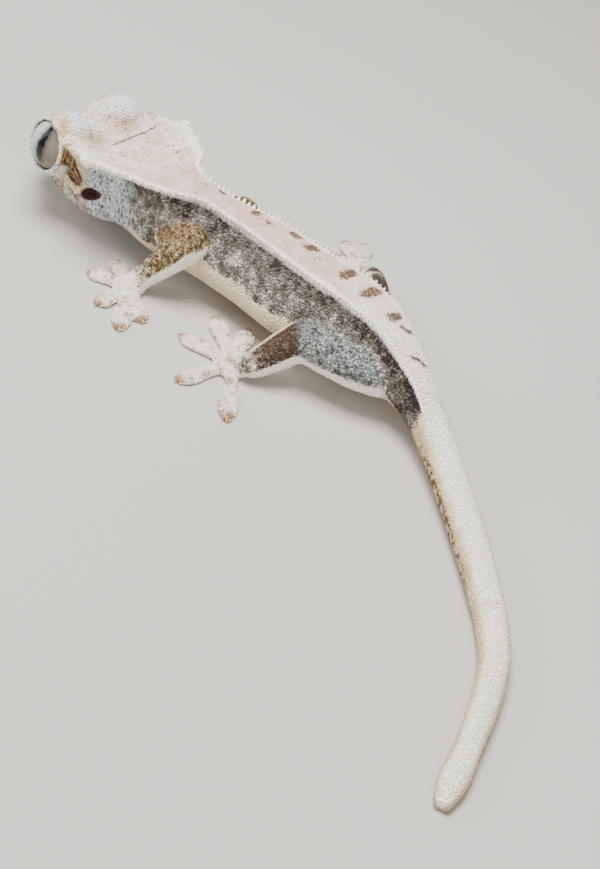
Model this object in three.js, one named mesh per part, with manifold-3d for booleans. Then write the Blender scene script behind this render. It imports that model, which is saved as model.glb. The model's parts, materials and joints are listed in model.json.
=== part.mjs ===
// A young crested gecko, life size, standing on a flat floor with its tail laid in a curve to its left.
// Units are millimetres. While the animal is modelled, +X points to its snout, +Y to its left and +Z up,
// with the floor at z = 0. The finished group is shifted so that its origin lies at the middle of its
// footprint.
import * as THREE from "three";
import { mergeVertices } from "three/addons/utils/BufferGeometryUtils.js";
import Module from "manifold-3d";

const wasm = await Module();
wasm.setup();

// Driving sizes of the whole animal
const SEAM = 0.3; // gap between two neighbouring parts of the body
const RING_SIDES = 22; // corners of one cross-section of the trunk or head
const LIP = 0.5; // thickness of the ridge that carries the crest
const RIDGE = 0.23; // share of the half section that lies between midline and crest
const UNDER = 0.62; // share of the half section at which the flank is widest

// Materials, by the names that the record uses
const SKIN_TONES = {
  skin: { color: 0x8d8378, roughness: 0.75 },
  cream: { color: 0xe9e1cd, roughness: 0.7 },
  eye: { color: 0x9aa3a0, roughness: 0.15 },
};

// One cross-section of the body. x and y give the spine's place, half and wide the half width and the height
// where it is widest, gap and crest the crest's half gap and height, back and belly the heights on the midline.
// round is 0 where the back is flat between two crests and 1 where the section is an oval.
const SIZES = ["x", "y", "half", "wide", "gap", "crest", "back", "belly", "round"];
const station = (at, ...sizes) => ({ at, ...Object.fromEntries(SIZES.map((key, k) => [key, sizes[k]])) });

// The trunk from nape to tail tip
const TRUNK = [
  station("nape", 16.9, 1.85, 3.05, 4.15, 4.9, 8.0, 7.5, 1.65, 0),
  station("neck", 14.3, 2.05, 2.65, 4.1, 4.0, 8.1, 7.6, 1.9, 0),
  station("throat", 12.2, 2.15, 2.6, 3.9, 2.6, 8.0, 7.7, 1.7, 0),
  station("withers", 9.9, 1.35, 2.8, 3.6, 1.3, 7.6, 7.5, 1.3, 0),
  station("shoulders", 8.0, 0.6, 3.05, 3.4, 1.2, 7.1, 7.1, 1.0, 0),
  station("chest", 5.0, 0.05, 3.3, 3.3, 1.45, 6.9, 6.9, 0.8, 0),
  station("waist", 0.5, 0, 3.4, 3.2, 1.7, 6.9, 6.9, 0.7, 0),
  station("loins", -3.6, -0.2, 3.0, 3.3, 1.78, 6.8, 6.8, 0.9, 0),
  station("hips", -6.6, 0.15, 2.4, 3.4, 1.4, 6.5, 6.5, 1.3, 0.1),
  station("rump", -9.3, 0.85, 1.7, 3.3, 1.0, 5.6, 5.6, 1.6, 0.35),
  station("vent", -11.4, 1.5, 1.35, 2.8, 0.65, 4.7, 4.7, 1.3, 0.8),
  station("tail root", -13.7, 2.5, 1.3, 2.0, 0.6, 3.4, 3.4, 0.7, 1),
  station("tail first third", -16.9, 4.5, 1.28, 1.4, 0.5, 2.6, 2.6, 0.2, 1),
  station("tail straight", -20.35, 7.05, 1.24, 1.1, 0.5, 2.25, 2.25, -0.02, 1),
  station("tail middle", -23.35, 9.55, 1.16, 1.0, 0.5, 2.05, 2.05, -0.04, 1),
  station("tail second third", -25.7, 11.7, 1.08, 0.9, 0.45, 1.9, 1.9, -0.04, 1),
  station("tail bend", -27.6, 14.05, 1.0, 0.85, 0.4, 1.75, 1.75, -0.04, 1),
  station("tail after bend", -29.0, 16.9, 0.95, 0.8, 0.4, 1.65, 1.65, -0.04, 1),
  station("tail end", -30.15, 19.8, 0.87, 0.7, 0.35, 1.45, 1.45, -0.04, 1),
  station("tail pad", -31.1, 22.6, 0.9, 0.6, 0.35, 1.25, 1.25, -0.04, 1),
  station("tail tip", -31.6, 24.1, 0.5, 0.45, 0.2, 0.9, 0.9, -0.02, 1),
];
const AT = Object.fromEntries(TRUNK.map(({ at }, index) => [at, index]));

// The head, from the crest's corners to the snout, with x counted forwards from the corners. gap is the half
// gap between the brow ridges, and half is the cheeks' and jaws' half width.
const HEAD = [
  station("corners", 0, 0, 3.2, 4.1, 4.9, 8.0, 7.5, 1.5, 0),
  station("temples", 1.4, 0, 3.6, 3.85, 4.55, 7.95, 7.4, 1.3, 0),
  station("behind the eyes", 2.7, 0, 3.65, 3.7, 4.3, 7.9, 7.2, 1.35, 0),
  station("eyes", 4.3, 0, 3.4, 3.6, 3.9, 7.7, 6.9, 1.55, 0),
  station("before the eyes", 5.9, 0, 2.9, 3.6, 2.9, 7.2, 6.5, 2.0, 0.1),
  station("snout", 7.3, 0, 2.5, 3.6, 2.0, 6.4, 6.1, 2.2, 0.3),
  station("nose", 8.6, 0, 1.95, 3.7, 1.3, 5.6, 5.4, 2.5, 0.6),
  station("snout tip", 9.4, 0, 1.15, 3.8, 0.7, 4.9, 4.8, 3.0, 0.9),
];
const HEAD_PLACE = { x: 16.3, y: 1.85 }; // where the corners' line stands

// Face, in the head's own frame. An oval ball has its own count of columns and rows.
const HEAD_SLICE = 0.6;
const EYE = { x: 5.2, side: 2.65, z: 5.8, radius: 2.05, columns: 20, rows: 14 };
const DOME = { x: 4.5, side: 2.45, z: 6.9, length: 1.65, width: 1.55, height: 1.65, columns: 14, rows: 10 };
const EAR = { x: 0.9, side: 3.25, z: 4.4, length: 0.75, height: 0.5, width: 0.8, columns: 12, rows: 8 };
const NOSTRIL = { x: 8.5, side: 1.5, z: 4.7, length: 0.32, width: 0.32, height: 0.26, columns: 8, rows: 6 };
const MOUTH = { z: 3.5, width: 0.3, depth: 0.45, from: 2.2, tilt: 3, reach: 6 };
// The lids are a shell round the socket with a round opening, given by half its angle and the way it faces
const LID = { thickness: 0.3, opening: 54, ahead: 0.2, out: 0.96, up: 0.2, away: 3, columns: 22, rows: 16 };

// Crest spines and eyelashes. The roots lie a share of the lip below the crest's top, and sizes vary in a
// rhythm.
const SPINE = { base: 0.34, height: 0.62, step: 0.74, sides: 5, sunk: 0.3, vary: 0.14, rhythm: 2.4 };
const CREST_ROOT = { under: 0.35, inside: 0.97, rise: 45 };
const CORNER_SPINE = { place: 0.42, base: 0.46, height: 0.85 };
const HEAD_SPINES = { from: 0.9, to: 1.6 };
const SPINES_END = AT.loins + 0.4;
const LASH = { base: 0.3, height: 0.75, count: 7, from: 2.5, to: 6.1, vary: 0.2, rhythm: 2.1 };

// Legs: joints in order from the body to the wrist or ankle, the limb's radius at the ends of its two lengths,
// the middle of the palm and the places of the five toe tips on the floor, from the innermost toe outwards
const LEGS = {
  front_left: {
    names: ["upper_arm_left", "forearm_left", "hand_left"],
    joints: [[11.9, 2.9, 4.0], [8.4, 3.7, 4.9], [10.9, 5.5, 1.1]],
    radii: [[1.35, 1.2], [1.2, 0.85]],
    palm: { x: 11.3, y: 6.4, radius: 1.2 },
    tips: [[14.3, 4.8], [14.4, 7.4], [11.2, 9.6], [8.2, 10.2], [7.9, 8.2]],
  },
  front_right: {
    names: ["upper_arm_right", "forearm_right", "hand_right"],
    joints: [[11.9, 0.8, 4.0], [9.4, -2.6, 4.6], [12.3, -3.9, 1.1]],
    radii: [[1.35, 1.2], [1.2, 0.85]],
    palm: { x: 12.9, y: -4.7, radius: 1.2 },
    tips: [[15.6, -2.9], [16.3, -5.2], [15.0, -7.6], [11.9, -7.9], [10.0, -5.9]],
  },
  hind_left: {
    names: ["thigh_left", "shank_left", "foot_left"],
    joints: [[-7.9, 1.3, 3.2], [-2.2, 3.5, 3.4], [-0.6, 6.2, 1.25]],
    radii: [[1.75, 1.5], [1.35, 0.95]],
    palm: { x: 1.0, y: 6.3, radius: 1.45 },
    tips: [[3.1, 2.4], [5.6, 3.3], [5.5, 7.0], [2.1, 10.7], [-2.8, 10.8]],
  },
  hind_right: {
    names: ["thigh_right", "shank_right", "foot_right"],
    joints: [[-7.7, -0.5, 2.9], [-2.3, -4.3, 2.8], [1.0, -8.9, 1.25]],
    radii: [[1.55, 1.3], [1.2, 0.85]],
    palm: { x: 3.0, y: -10.1, radius: 1.3 },
    tips: [[5.0, -7.2], [6.9, -9.6], [6.5, -12.1], [5.4, -13.1], [0.2, -8.2]],
  },
};
// A leg's length is rounded past each joint by a share of its radius. Its rows are [share of its length,
// share of its radius].
const LIMB = { sides: 12, past: 0.75 };
const LIMB_ROWS = [
  [0, 0.35],
  [0.06, 0.74],
  [0.15, 0.98],
  [0.4, 1.12],
  [0.65, 1.06],
  [0.86, 0.96],
  [0.95, 0.72],
  [1, 0.35],
];
// A toe's rows are [share of its length, half width, thickness]. Its section's middle and half height are
// shares of the thickness, and it starts this share of the palm's radius from the palm's middle.
const TOE = { sides: 8, middle: 0.45, half: 0.63, root: 0.55 };
const TOE_ROWS = [
  [-0.15, 0.5, 0.6],
  [0.3, 0.52, 0.56],
  [0.52, 0.72, 0.52],
  [0.74, 0.84, 0.5],
  [0.9, 0.6, 0.46],
  [1, 0.22, 0.34],
];
const PALM = { middle: 0.4, half: 0.68, columns: 12, rows: 8 };
const WRIST = { height: 0.7, radii: [0.8, 0.55] };

const radians = THREE.MathUtils.degToRad;
const mix = THREE.MathUtils.lerp;

// A smooth value of one size along a row of stations, at a place counted in stations.
function along(stations, key, place) {
  const last = stations.length - 1;
  const i = Math.min(Math.floor(place), last - 1);
  const u = place - i;
  const value = (k) => stations[Math.max(0, Math.min(last, k))][key];
  const span = (k) => {
    const p = (n) => stations[Math.max(0, Math.min(last, n))];
    return Math.hypot(p(k + 1).x - p(k).x, p(k + 1).y - p(k).y) || 1;
  };
  const run = span(i);
  const slope = (k, before, after) =>
    ((value(k) - value(k - 1)) / before + (value(k + 1) - value(k)) / after) / 2;
  const m0 = i > 0 ? slope(i, span(i - 1), run) * run : value(i + 1) - value(i);
  const m1 = i + 1 < last ? slope(i + 1, run, span(i + 1)) * run : value(i + 1) - value(i);
  const u2 = u * u;
  const u3 = u2 * u;
  return (
    (2 * u3 - 3 * u2 + 1) * value(i) +
    (u3 - 2 * u2 + u) * m0 +
    (3 * u2 - 2 * u3) * value(i + 1) +
    (u3 - u2) * m1
  );
}

// All sizes of a row of stations at one place, with the heading of its line there.
function sizesAt(stations, place) {
  const sizes = {};
  for (const key of SIZES) sizes[key] = along(stations, key, place);
  const before = Math.max(0, place - 0.05);
  const after = Math.min(stations.length - 1, place + 0.05);
  sizes.heading = Math.atan2(
    along(stations, "y", before) - along(stations, "y", after),
    along(stations, "x", before) - along(stations, "x", after),
  );
  return sizes;
}

// One point of a cross-section as [sideways, height]. turn runs from 0 on the back over 0.5 on the belly to 1.
function sectionPoint(s, turn, swell = 0) {
  const side = turn <= 0.5 ? 1 : -1;
  const t = side > 0 ? turn * 2 : (1 - turn) * 2; // 0 on the back, 1 on the belly
  const middle = (s.back + s.belly) / 2;
  const oval = [
    s.half * Math.sin(t * Math.PI),
    t < 0.5
      ? s.wide + (s.back - s.wide) * Math.cos(t * Math.PI)
      : s.wide + (s.wide - s.belly) * Math.cos(t * Math.PI),
  ];
  let crested;
  if (t <= RIDGE) {
    const u = t / RIDGE;
    crested = [s.gap * u, mix(s.back, s.crest, u * u)];
  } else if (t <= UNDER) {
    const u = (t - RIDGE) / (UNDER - RIDGE);
    const top = s.crest - LIP;
    const reach = mix(u, Math.sin((u * Math.PI) / 2), 0.5);
    const drop = mix(u, 1 - Math.cos((u * Math.PI) / 2), 0.6);
    crested = [mix(s.gap, s.half, reach), mix(top, s.wide, drop)];
  } else {
    const u = (t - UNDER) / (1 - UNDER);
    crested = [
      s.half * Math.cos((u * Math.PI) / 2) ** 0.85,
      s.wide - (s.wide - s.belly) * Math.sin((u * Math.PI) / 2) ** 0.9,
    ];
  }
  const x = mix(crested[0], oval[0], s.round);
  const z = mix(crested[1], oval[1], s.round);
  const away = Math.hypot(x, z - middle) || 1;
  return [side * (x + (swell * x) / away), z + (swell * (z - middle)) / away];
}

// A ring of points of the trunk or head at one place along its stations.
function ringAt(stations, place, swell = 0) {
  const s = sizesAt(stations, place);
  const ring = [];
  for (let k = 0; k < RING_SIDES; k++) {
    const [sideways, height] = sectionPoint(s, (k + 0.5) / RING_SIDES, swell);
    ring.push(
      new THREE.Vector3(
        s.x - Math.sin(s.heading) * sideways,
        s.y + Math.cos(s.heading) * sideways,
        Math.max(0, height),
      ),
    );
  }
  return ring;
}

// A closed skin over a row of rings, with a fan of triangles over each end.
function skinOver(rings) {
  const sides = rings[0].length;
  const points = rings.flat();
  const faces = [];
  for (let r = 0; r + 1 < rings.length; r++)
    for (let k = 0; k < sides; k++) {
      const next = (k + 1) % sides;
      const [a, b, c, d] = [r * sides + k, r * sides + next, (r + 1) * sides + next, (r + 1) * sides + k];
      faces.push(a, b, c, a, c, d);
    }
  for (const [row, flip] of [[0, false], [rings.length - 1, true]]) {
    const middle = new THREE.Vector3();
    for (const p of rings[row]) middle.addScaledVector(p, 1 / sides);
    points.push(middle);
    for (let k = 0; k < sides; k++) {
      const [a, b] = [row * sides + k, row * sides + ((k + 1) % sides)];
      faces.push(...(flip ? [a, b, points.length - 1] : [b, a, points.length - 1]));
    }
  }
  return closed(points, faces);
}

// A closed body from points and triangles, turned right side out.
function closed(points, faces) {
  const make = (order) =>
    new wasm.Manifold(
      new wasm.Mesh({
        numProp: 3,
        vertProperties: new Float32Array(points.flatMap((p) => [p.x, p.y, p.z])),
        triVerts: new Uint32Array(order),
      }),
    );
  const body = make(faces);
  return body.volume() >= 0 ? body : make(faces.slice().reverse());
}

// A three.js geometry as a closed body.
function bodyOf(geometry) {
  const bare = geometry.clone();
  bare.deleteAttribute("normal");
  bare.deleteAttribute("uv");
  const merged = mergeVertices(bare, 1e-4);
  const place = merged.getAttribute("position");
  const points = [];
  for (let i = 0; i < place.count; i++) points.push(new THREE.Vector3().fromBufferAttribute(place, i));
  return closed(points, Array.from(merged.index.array));
}

// A flat-shaded geometry from a closed body.
function geometryOf(body) {
  const mesh = body.getMesh();
  const place = new Float32Array(mesh.numVert * 3);
  for (let i = 0; i < mesh.numVert; i++)
    place.set(mesh.vertProperties.subarray(i * mesh.numProp, i * mesh.numProp + 3), i * 3);
  return new THREE.BufferGeometry()
    .setAttribute("position", new THREE.BufferAttribute(place, 3))
    .setIndex(new THREE.BufferAttribute(mesh.triVerts, 1));
}

// Only the largest closed surface of a body, so that a loose scrap or sealed hollow is dropped.
function largest(body) {
  return body.decompose().sort((a, b) => b.volume() - a.volume())[0];
}

// A stretch of the trunk or head between two places along its stations, in slices of about one length.
function stretch(stations, from, to, slice, swell = 0) {
  const start = sizesAt(stations, from);
  const end = sizesAt(stations, to);
  const steps = Math.max(2, Math.round(Math.hypot(end.x - start.x, end.y - start.y) / slice));
  const rings = [];
  for (let i = 0; i <= steps; i++) rings.push(ringAt(stations, mix(from, to, i / steps), swell));
  return skinOver(rings);
}

// The place along the trunk that lies a short way further towards the tail, which leaves a seam there.
function past(place, distance = SEAM) {
  const a = sizesAt(TRUNK, place);
  const b = sizesAt(TRUNK, place + 0.01);
  return place + (0.01 * distance) / Math.hypot(b.x - a.x, b.y - a.y);
}

// A round, tapered length of a leg between two joints, rounded past each of them and fuller near its middle.
function limb(from, to, [startRadius, endRadius], swell = 0) {
  const [a, b] = [new THREE.Vector3(...from), new THREE.Vector3(...to)];
  const ahead = b.clone().sub(a).normalize();
  a.addScaledVector(ahead, -LIMB.past * startRadius - swell);
  b.addScaledVector(ahead, LIMB.past * endRadius + swell);
  const side = new THREE.Vector3(0, 0, 1).cross(ahead).normalize();
  const up = ahead.clone().cross(side);
  const rings = LIMB_ROWS.map(([share, fullness]) => {
    const radius = mix(startRadius, endRadius, share) * fullness + swell;
    const middle = a.clone().lerp(b, share);
    return Array.from({ length: LIMB.sides }, (_, k) => {
      const angle = (2 * Math.PI * (k + 0.5)) / LIMB.sides;
      const p = middle.clone().addScaledVector(side, radius * Math.cos(angle));
      p.addScaledVector(up, radius * Math.sin(angle));
      p.z = Math.max(0, p.z);
      return p;
    });
  });
  return skinOver(rings);
}

// One toe from the palm to its tip: a narrow base, a broad leaf-shaped pad flat on the floor, a small claw
function toe(root, tip) {
  const line = new THREE.Vector3(tip[0] - root[0], tip[1] - root[1], 0);
  const side = new THREE.Vector3(-line.y, line.x, 0).normalize();
  const rings = TOE_ROWS.map(([share, half, thick]) =>
    Array.from({ length: TOE.sides }, (_, k) => {
      const angle = (2 * Math.PI * (k + 0.5)) / TOE.sides;
      const p = new THREE.Vector3(root[0], root[1], 0).addScaledVector(line, share);
      p.addScaledVector(side, half * Math.cos(angle));
      p.z = Math.max(0, thick * (TOE.middle + TOE.half * Math.sin(angle)));
      return p;
    }),
  );
  return skinOver(rings);
}

// A hand or foot: a flat palm under the wrist and five toes that spread from it.
function paw(joints, palm, tips) {
  const pad = new THREE.SphereGeometry(1, PALM.columns, PALM.rows);
  pad.scale(palm.radius, palm.radius, PALM.half).translate(palm.x, palm.y, PALM.middle);
  const place = pad.getAttribute("position");
  for (let i = 0; i < place.count; i++) place.setZ(i, Math.max(0, place.getZ(i)));
  const wrist = limb(joints[2], [palm.x, palm.y, WRIST.height], WRIST.radii);
  const pieces = [bodyOf(pad), wrist];
  for (const tip of tips) {
    const line = new THREE.Vector2(tip[0] - palm.x, tip[1] - palm.y).normalize();
    const reach = palm.radius * TOE.root;
    pieces.push(toe([palm.x + line.x * reach, palm.y + line.y * reach], tip));
  }
  return wasm.Manifold.union(pieces);
}

// An oval ball with its own axes, centred at a point.
function oval(centre, radii, { columns, rows }) {
  const ball = new THREE.SphereGeometry(1, columns, rows);
  ball.scale(...radii).translate(...centre);
  return bodyOf(ball);
}

// A blunt spine whose root is sunk in the skin at a point and which leans to a direction.
function spine(point, lean, base, height) {
  const cone = new THREE.ConeGeometry(base, height + SPINE.sunk, SPINE.sides, 1);
  cone.translate(0, (height + SPINE.sunk) / 2 - SPINE.sunk, 0);
  const turn = new THREE.Quaternion().setFromUnitVectors(new THREE.Vector3(0, 1, 0), lean);
  cone.applyQuaternion(turn).translate(point.x, point.y, point.z);
  return bodyOf(cone);
}

// The crest's edge on one side at a place along the stations, with the way its spines point.
function crestPoint(stations, place, side) {
  const s = sizesAt(stations, place);
  const out = new THREE.Vector3(-Math.sin(s.heading), Math.cos(s.heading), 0).multiplyScalar(side);
  const height = s.crest - LIP * CREST_ROOT.under;
  const point = new THREE.Vector3(s.x, s.y, height).addScaledVector(out, s.gap * CREST_ROOT.inside);
  const rise = radians(CREST_ROOT.rise);
  const lean = out.multiplyScalar(Math.cos(rise)).add(new THREE.Vector3(0, 0, Math.sin(rise)));
  return { point, lean };
}

// Rows of spines along both crests between two places. Their sizes vary a little in a fixed rhythm.
function crestSpines(stations, from, to) {
  const spines = [];
  for (const side of [1, -1]) {
    let count = 0;
    let previous = null;
    for (let place = from; place <= to; place += 0.01) {
      const { point, lean } = crestPoint(stations, place, side);
      if (previous && point.distanceTo(previous) < SPINE.step) continue;
      previous = point;
      const size = 1 + SPINE.vary * Math.sin(count * SPINE.rhythm + side);
      spines.push(spine(point, lean, SPINE.base, SPINE.height * size));
      count += 1;
    }
  }
  return spines;
}

// One part of the trunk, with half a seam left free at each end that meets another part.
function trunkPart(from, to, slice, spined) {
  const start = past(from, SEAM / 2);
  const end = to < TRUNK.length - 1 ? past(to, -SEAM / 2) : to;
  const pieces = [stretch(TRUNK, start, end, slice)];
  const clear = SPINE.base + SEAM / 3;
  if (spined) pieces.push(...crestSpines(TRUNK, past(start, clear), Math.min(past(end, -clear), SPINES_END)));
  return wasm.Manifold.union(pieces);
}

// A feature of the face on one side, as an oval ball of its own size
function faceBall(feature, side) {
  const centre = [feature.x, side * feature.side, feature.z];
  return oval(centre, [feature.length, feature.width, feature.height], feature);
}

// The lids on one side: the shell round the eye, and the ball that opens it
function lids(side) {
  const eye = new THREE.Vector3(EYE.x, side * EYE.side, EYE.z);
  const shell = EYE.radius + SEAM + LID.thickness;
  const facing = new THREE.Vector3(LID.ahead, side * LID.out, LID.up).normalize();
  const corner = Math.cos(radians(LID.opening));
  const radius = Math.sqrt(LID.away ** 2 + shell ** 2 - 2 * LID.away * shell * corner);
  const opening = eye.clone().addScaledVector(facing, LID.away);
  return {
    shell: oval(eye.toArray(), [shell, shell, shell], LID),
    opening: oval(opening.toArray(), [radius, radius, radius], LID),
  };
}

// The eyelashes that fringe one brow
function lashes(side) {
  return Array.from({ length: LASH.count }, (_, i) => {
    const x = mix(LASH.from, LASH.to, i / (LASH.count - 1));
    const place = HEAD.findIndex((s) => s.x > x) - 1;
    const share = (x - HEAD[place].x) / (HEAD[place + 1].x - HEAD[place].x);
    const { point, lean } = crestPoint(HEAD, place + share, side);
    const size = 1 - LASH.vary + LASH.vary * Math.sin(i * LASH.rhythm + side);
    return spine(point, lean, LASH.base, LASH.height * size);
  });
}

// The head, built along +X from the corners' line before it is moved to its place
function buildHead() {
  const adds = [stretch(HEAD, 0, HEAD.length - 1, HEAD_SLICE)];
  const cuts = [mouthCut()];
  for (const side of [1, -1]) {
    const { shell, opening } = lids(side);
    const hollow = EYE.radius + SEAM;
    const socket = oval([EYE.x, side * EYE.side, EYE.z], [hollow, hollow, hollow], EYE);
    const corner = crestPoint(HEAD, CORNER_SPINE.place, side);
    adds.push(shell, faceBall(DOME, side), ...lashes(side));
    adds.push(spine(corner.point, corner.lean, CORNER_SPINE.base, CORNER_SPINE.height));
    cuts.push(socket, opening, faceBall(EAR, side), faceBall(NOSTRIL, side));
  }
  adds.push(...crestSpines(HEAD, HEAD_SPINES.from, HEAD_SPINES.to));
  let head = wasm.Manifold.union(adds);
  for (const cut of cuts) head = head.subtract(cut);
  return largest(head);
}

// The line of the mouth: a thin, shallow groove round the snout that rises a little to the corners of the jaw
function mouthCut() {
  const front = HEAD.at(-1).x + 1;
  const outline = new THREE.Shape();
  outline.moveTo(MOUTH.from, -MOUTH.reach);
  outline.lineTo(front, -MOUTH.reach);
  outline.lineTo(front, MOUTH.reach);
  outline.lineTo(MOUTH.from, MOUTH.reach);
  const slab = new THREE.ExtrudeGeometry(outline, { depth: MOUTH.width, bevelEnabled: false });
  slab.rotateY(radians(MOUTH.tilt)).translate(0, 0, MOUTH.z);
  const core = stretch(HEAD, 0, HEAD.length - 1, HEAD_SLICE, -MOUTH.depth);
  return bodyOf(slab).subtract(core);
}

// The eyeballs sit in their sockets with a seam all round
function buildEye(side) {
  return oval([EYE.x, side * EYE.side, EYE.z], [EYE.radius, EYE.radius, EYE.radius], EYE);
}

// Everything together, each part of the body in its own mesh
const parts = {};
const headPlace = new THREE.Matrix4().makeTranslation(HEAD_PLACE.x, HEAD_PLACE.y, 0);
parts.head = { body: buildHead(), tone: "skin", matrix: headPlace };
parts.eye_left = { body: buildEye(1), tone: "eye", matrix: headPlace };
parts.eye_right = { body: buildEye(-1), tone: "eye", matrix: headPlace };

// Each part of the trunk as [from, to, length of a slice, with spines]
const NECK_END = AT.withers - 0.1;
const TORSO_END = AT.vent - 0.1;
const TAIL_CUTS = [AT["tail straight"], AT["tail bend"]];
const trunk = {
  neck: [0, NECK_END, 0.8, true],
  torso: [NECK_END, TORSO_END, 1.0, true],
  tail_root: [TORSO_END, TAIL_CUTS[0], 1.1, false],
  tail_middle: [TAIL_CUTS[0], TAIL_CUTS[1], 1.1, false],
  tail_end: [TAIL_CUTS[1], TRUNK.length - 1, 1.0, false],
};
for (const [name, [from, to, slice, spined]] of Object.entries(trunk))
  parts[name] = { body: trunkPart(from, to, slice, spined), tone: name.startsWith("tail") ? "cream" : "skin" };
parts.neck.body = parts.neck.body.trimByPlane([-1, 0, 0], SEAM - HEAD_PLACE.x);

// The legs are cut clear of the trunk and of each other by the seam
const clearance = stretch(TRUNK, 0, AT["tail first third"], 1.2, SEAM);
for (const { joints, radii, names, palm, tips } of Object.values(LEGS)) {
  const [root, middle, end] = joints;
  const [upperName, lowerName, pawName] = names;
  const upper = limb(root, middle, radii[0]);
  const lower = limb(middle, end, radii[1]);
  const upperClear = limb(root, middle, radii[0], SEAM);
  const lowerClear = limb(middle, end, radii[1], SEAM);
  parts[upperName] = { body: largest(upper.subtract(clearance)), tone: "skin" };
  parts[lowerName] = { body: largest(lower.subtract(upperClear).subtract(clearance)), tone: "skin" };
  const pawBody = paw(joints, palm, tips).subtract(lowerClear).subtract(upperClear).subtract(clearance);
  parts[pawName] = { body: largest(pawBody), tone: "cream" };
}

const gecko = new THREE.Group();
gecko.name = "crested_gecko";
for (const [name, { body, tone, matrix }] of Object.entries(parts)) {
  const finish = new THREE.MeshStandardMaterial({ ...SKIN_TONES[tone], metalness: 0 });
  const mesh = new THREE.Mesh(geometryOf(body), finish);
  mesh.name = name;
  if (matrix) mesh.applyMatrix4(matrix);
  gecko.add(mesh);
}

// The origin is moved to the middle of the footprint, on the floor
const box = new THREE.Box3().setFromObject(gecko);
const middle = box.getCenter(new THREE.Vector3());
gecko.position.set(-middle.x, -middle.y, 0);

export default gecko;
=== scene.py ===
"""A young crested gecko as a still, life-size model: its skin, scales, crest, eyes and claws.

Sizes are in millimetres in the animal's own frame: +X to its snout, +Y to its left, +Z up, and the floor at
z = 0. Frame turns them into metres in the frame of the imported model.
"""

from __future__ import annotations

import json
import logging
import math
from collections.abc import Callable, Iterable, Sequence
from dataclasses import dataclass, field
from enum import Enum

import bpy
import numpy as np
import openvdb
from mathutils import Matrix, Vector
from mathutils.bvhtree import BVHTree
from mathutils.kdtree import KDTree

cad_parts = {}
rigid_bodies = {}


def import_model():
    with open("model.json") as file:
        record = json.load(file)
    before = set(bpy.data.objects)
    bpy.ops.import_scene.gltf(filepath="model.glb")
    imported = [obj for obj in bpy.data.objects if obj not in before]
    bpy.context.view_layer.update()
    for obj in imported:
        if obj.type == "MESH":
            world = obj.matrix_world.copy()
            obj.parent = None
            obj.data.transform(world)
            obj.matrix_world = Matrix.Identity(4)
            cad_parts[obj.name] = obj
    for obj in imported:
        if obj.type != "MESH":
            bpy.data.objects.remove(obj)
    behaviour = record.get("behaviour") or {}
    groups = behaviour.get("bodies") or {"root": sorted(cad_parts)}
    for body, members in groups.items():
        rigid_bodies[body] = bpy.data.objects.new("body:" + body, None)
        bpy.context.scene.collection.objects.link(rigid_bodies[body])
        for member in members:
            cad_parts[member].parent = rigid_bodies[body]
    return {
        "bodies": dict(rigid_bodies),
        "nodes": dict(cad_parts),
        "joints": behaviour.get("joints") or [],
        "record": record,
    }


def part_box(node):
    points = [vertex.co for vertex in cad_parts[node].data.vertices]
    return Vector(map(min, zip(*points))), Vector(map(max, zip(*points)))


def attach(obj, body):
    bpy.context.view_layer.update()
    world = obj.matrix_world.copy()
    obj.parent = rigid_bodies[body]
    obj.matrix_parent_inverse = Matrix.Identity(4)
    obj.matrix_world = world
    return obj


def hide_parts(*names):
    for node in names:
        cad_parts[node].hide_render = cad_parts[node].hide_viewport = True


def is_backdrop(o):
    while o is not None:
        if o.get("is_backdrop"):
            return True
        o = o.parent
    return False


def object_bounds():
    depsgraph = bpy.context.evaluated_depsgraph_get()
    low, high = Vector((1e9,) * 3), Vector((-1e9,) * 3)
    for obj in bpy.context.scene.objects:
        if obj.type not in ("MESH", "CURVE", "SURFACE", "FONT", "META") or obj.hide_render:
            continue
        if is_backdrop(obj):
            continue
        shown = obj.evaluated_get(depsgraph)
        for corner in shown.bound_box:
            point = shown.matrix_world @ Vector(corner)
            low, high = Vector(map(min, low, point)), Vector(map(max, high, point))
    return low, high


LOG = logging.getLogger("gecko")
MM = 0.001
BODY = "root"
Point = tuple[float, float, float]
Colour = tuple[float, float, float]


def srgb(red: int, green: int, blue: int) -> Colour:
    """A colour as a shader takes it, from its usual values of 0 to 255.

    Args:
        red: Amount of red.
        green: Amount of green.
        blue: Amount of blue.

    Returns:
        The same colour in linear light.
    """

    def linear(level: int) -> float:
        """One channel in linear light."""
        share = level / 255
        return share / 12.92 if share <= 0.04045 else ((share + 0.055) / 1.055) ** 2.4

    return linear(red), linear(green), linear(blue)


class Side(Enum):
    """The animal's own left and right."""

    LEFT = 1
    RIGHT = -1


# Shapes of the body, shared with the solids


@dataclass(frozen=True)
class Station:
    """One cross-section of the trunk or head.

    x and y place the spine. half is the widest half width, and wide its height. gap is half the distance
    between the crests, and crest their height. back and belly are the heights on the midline. round is 0
    for a flat back between two crests and 1 for an oval.
    """

    x: float
    y: float
    half: float
    wide: float
    gap: float
    crest: float
    back: float
    belly: float
    round: float


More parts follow.
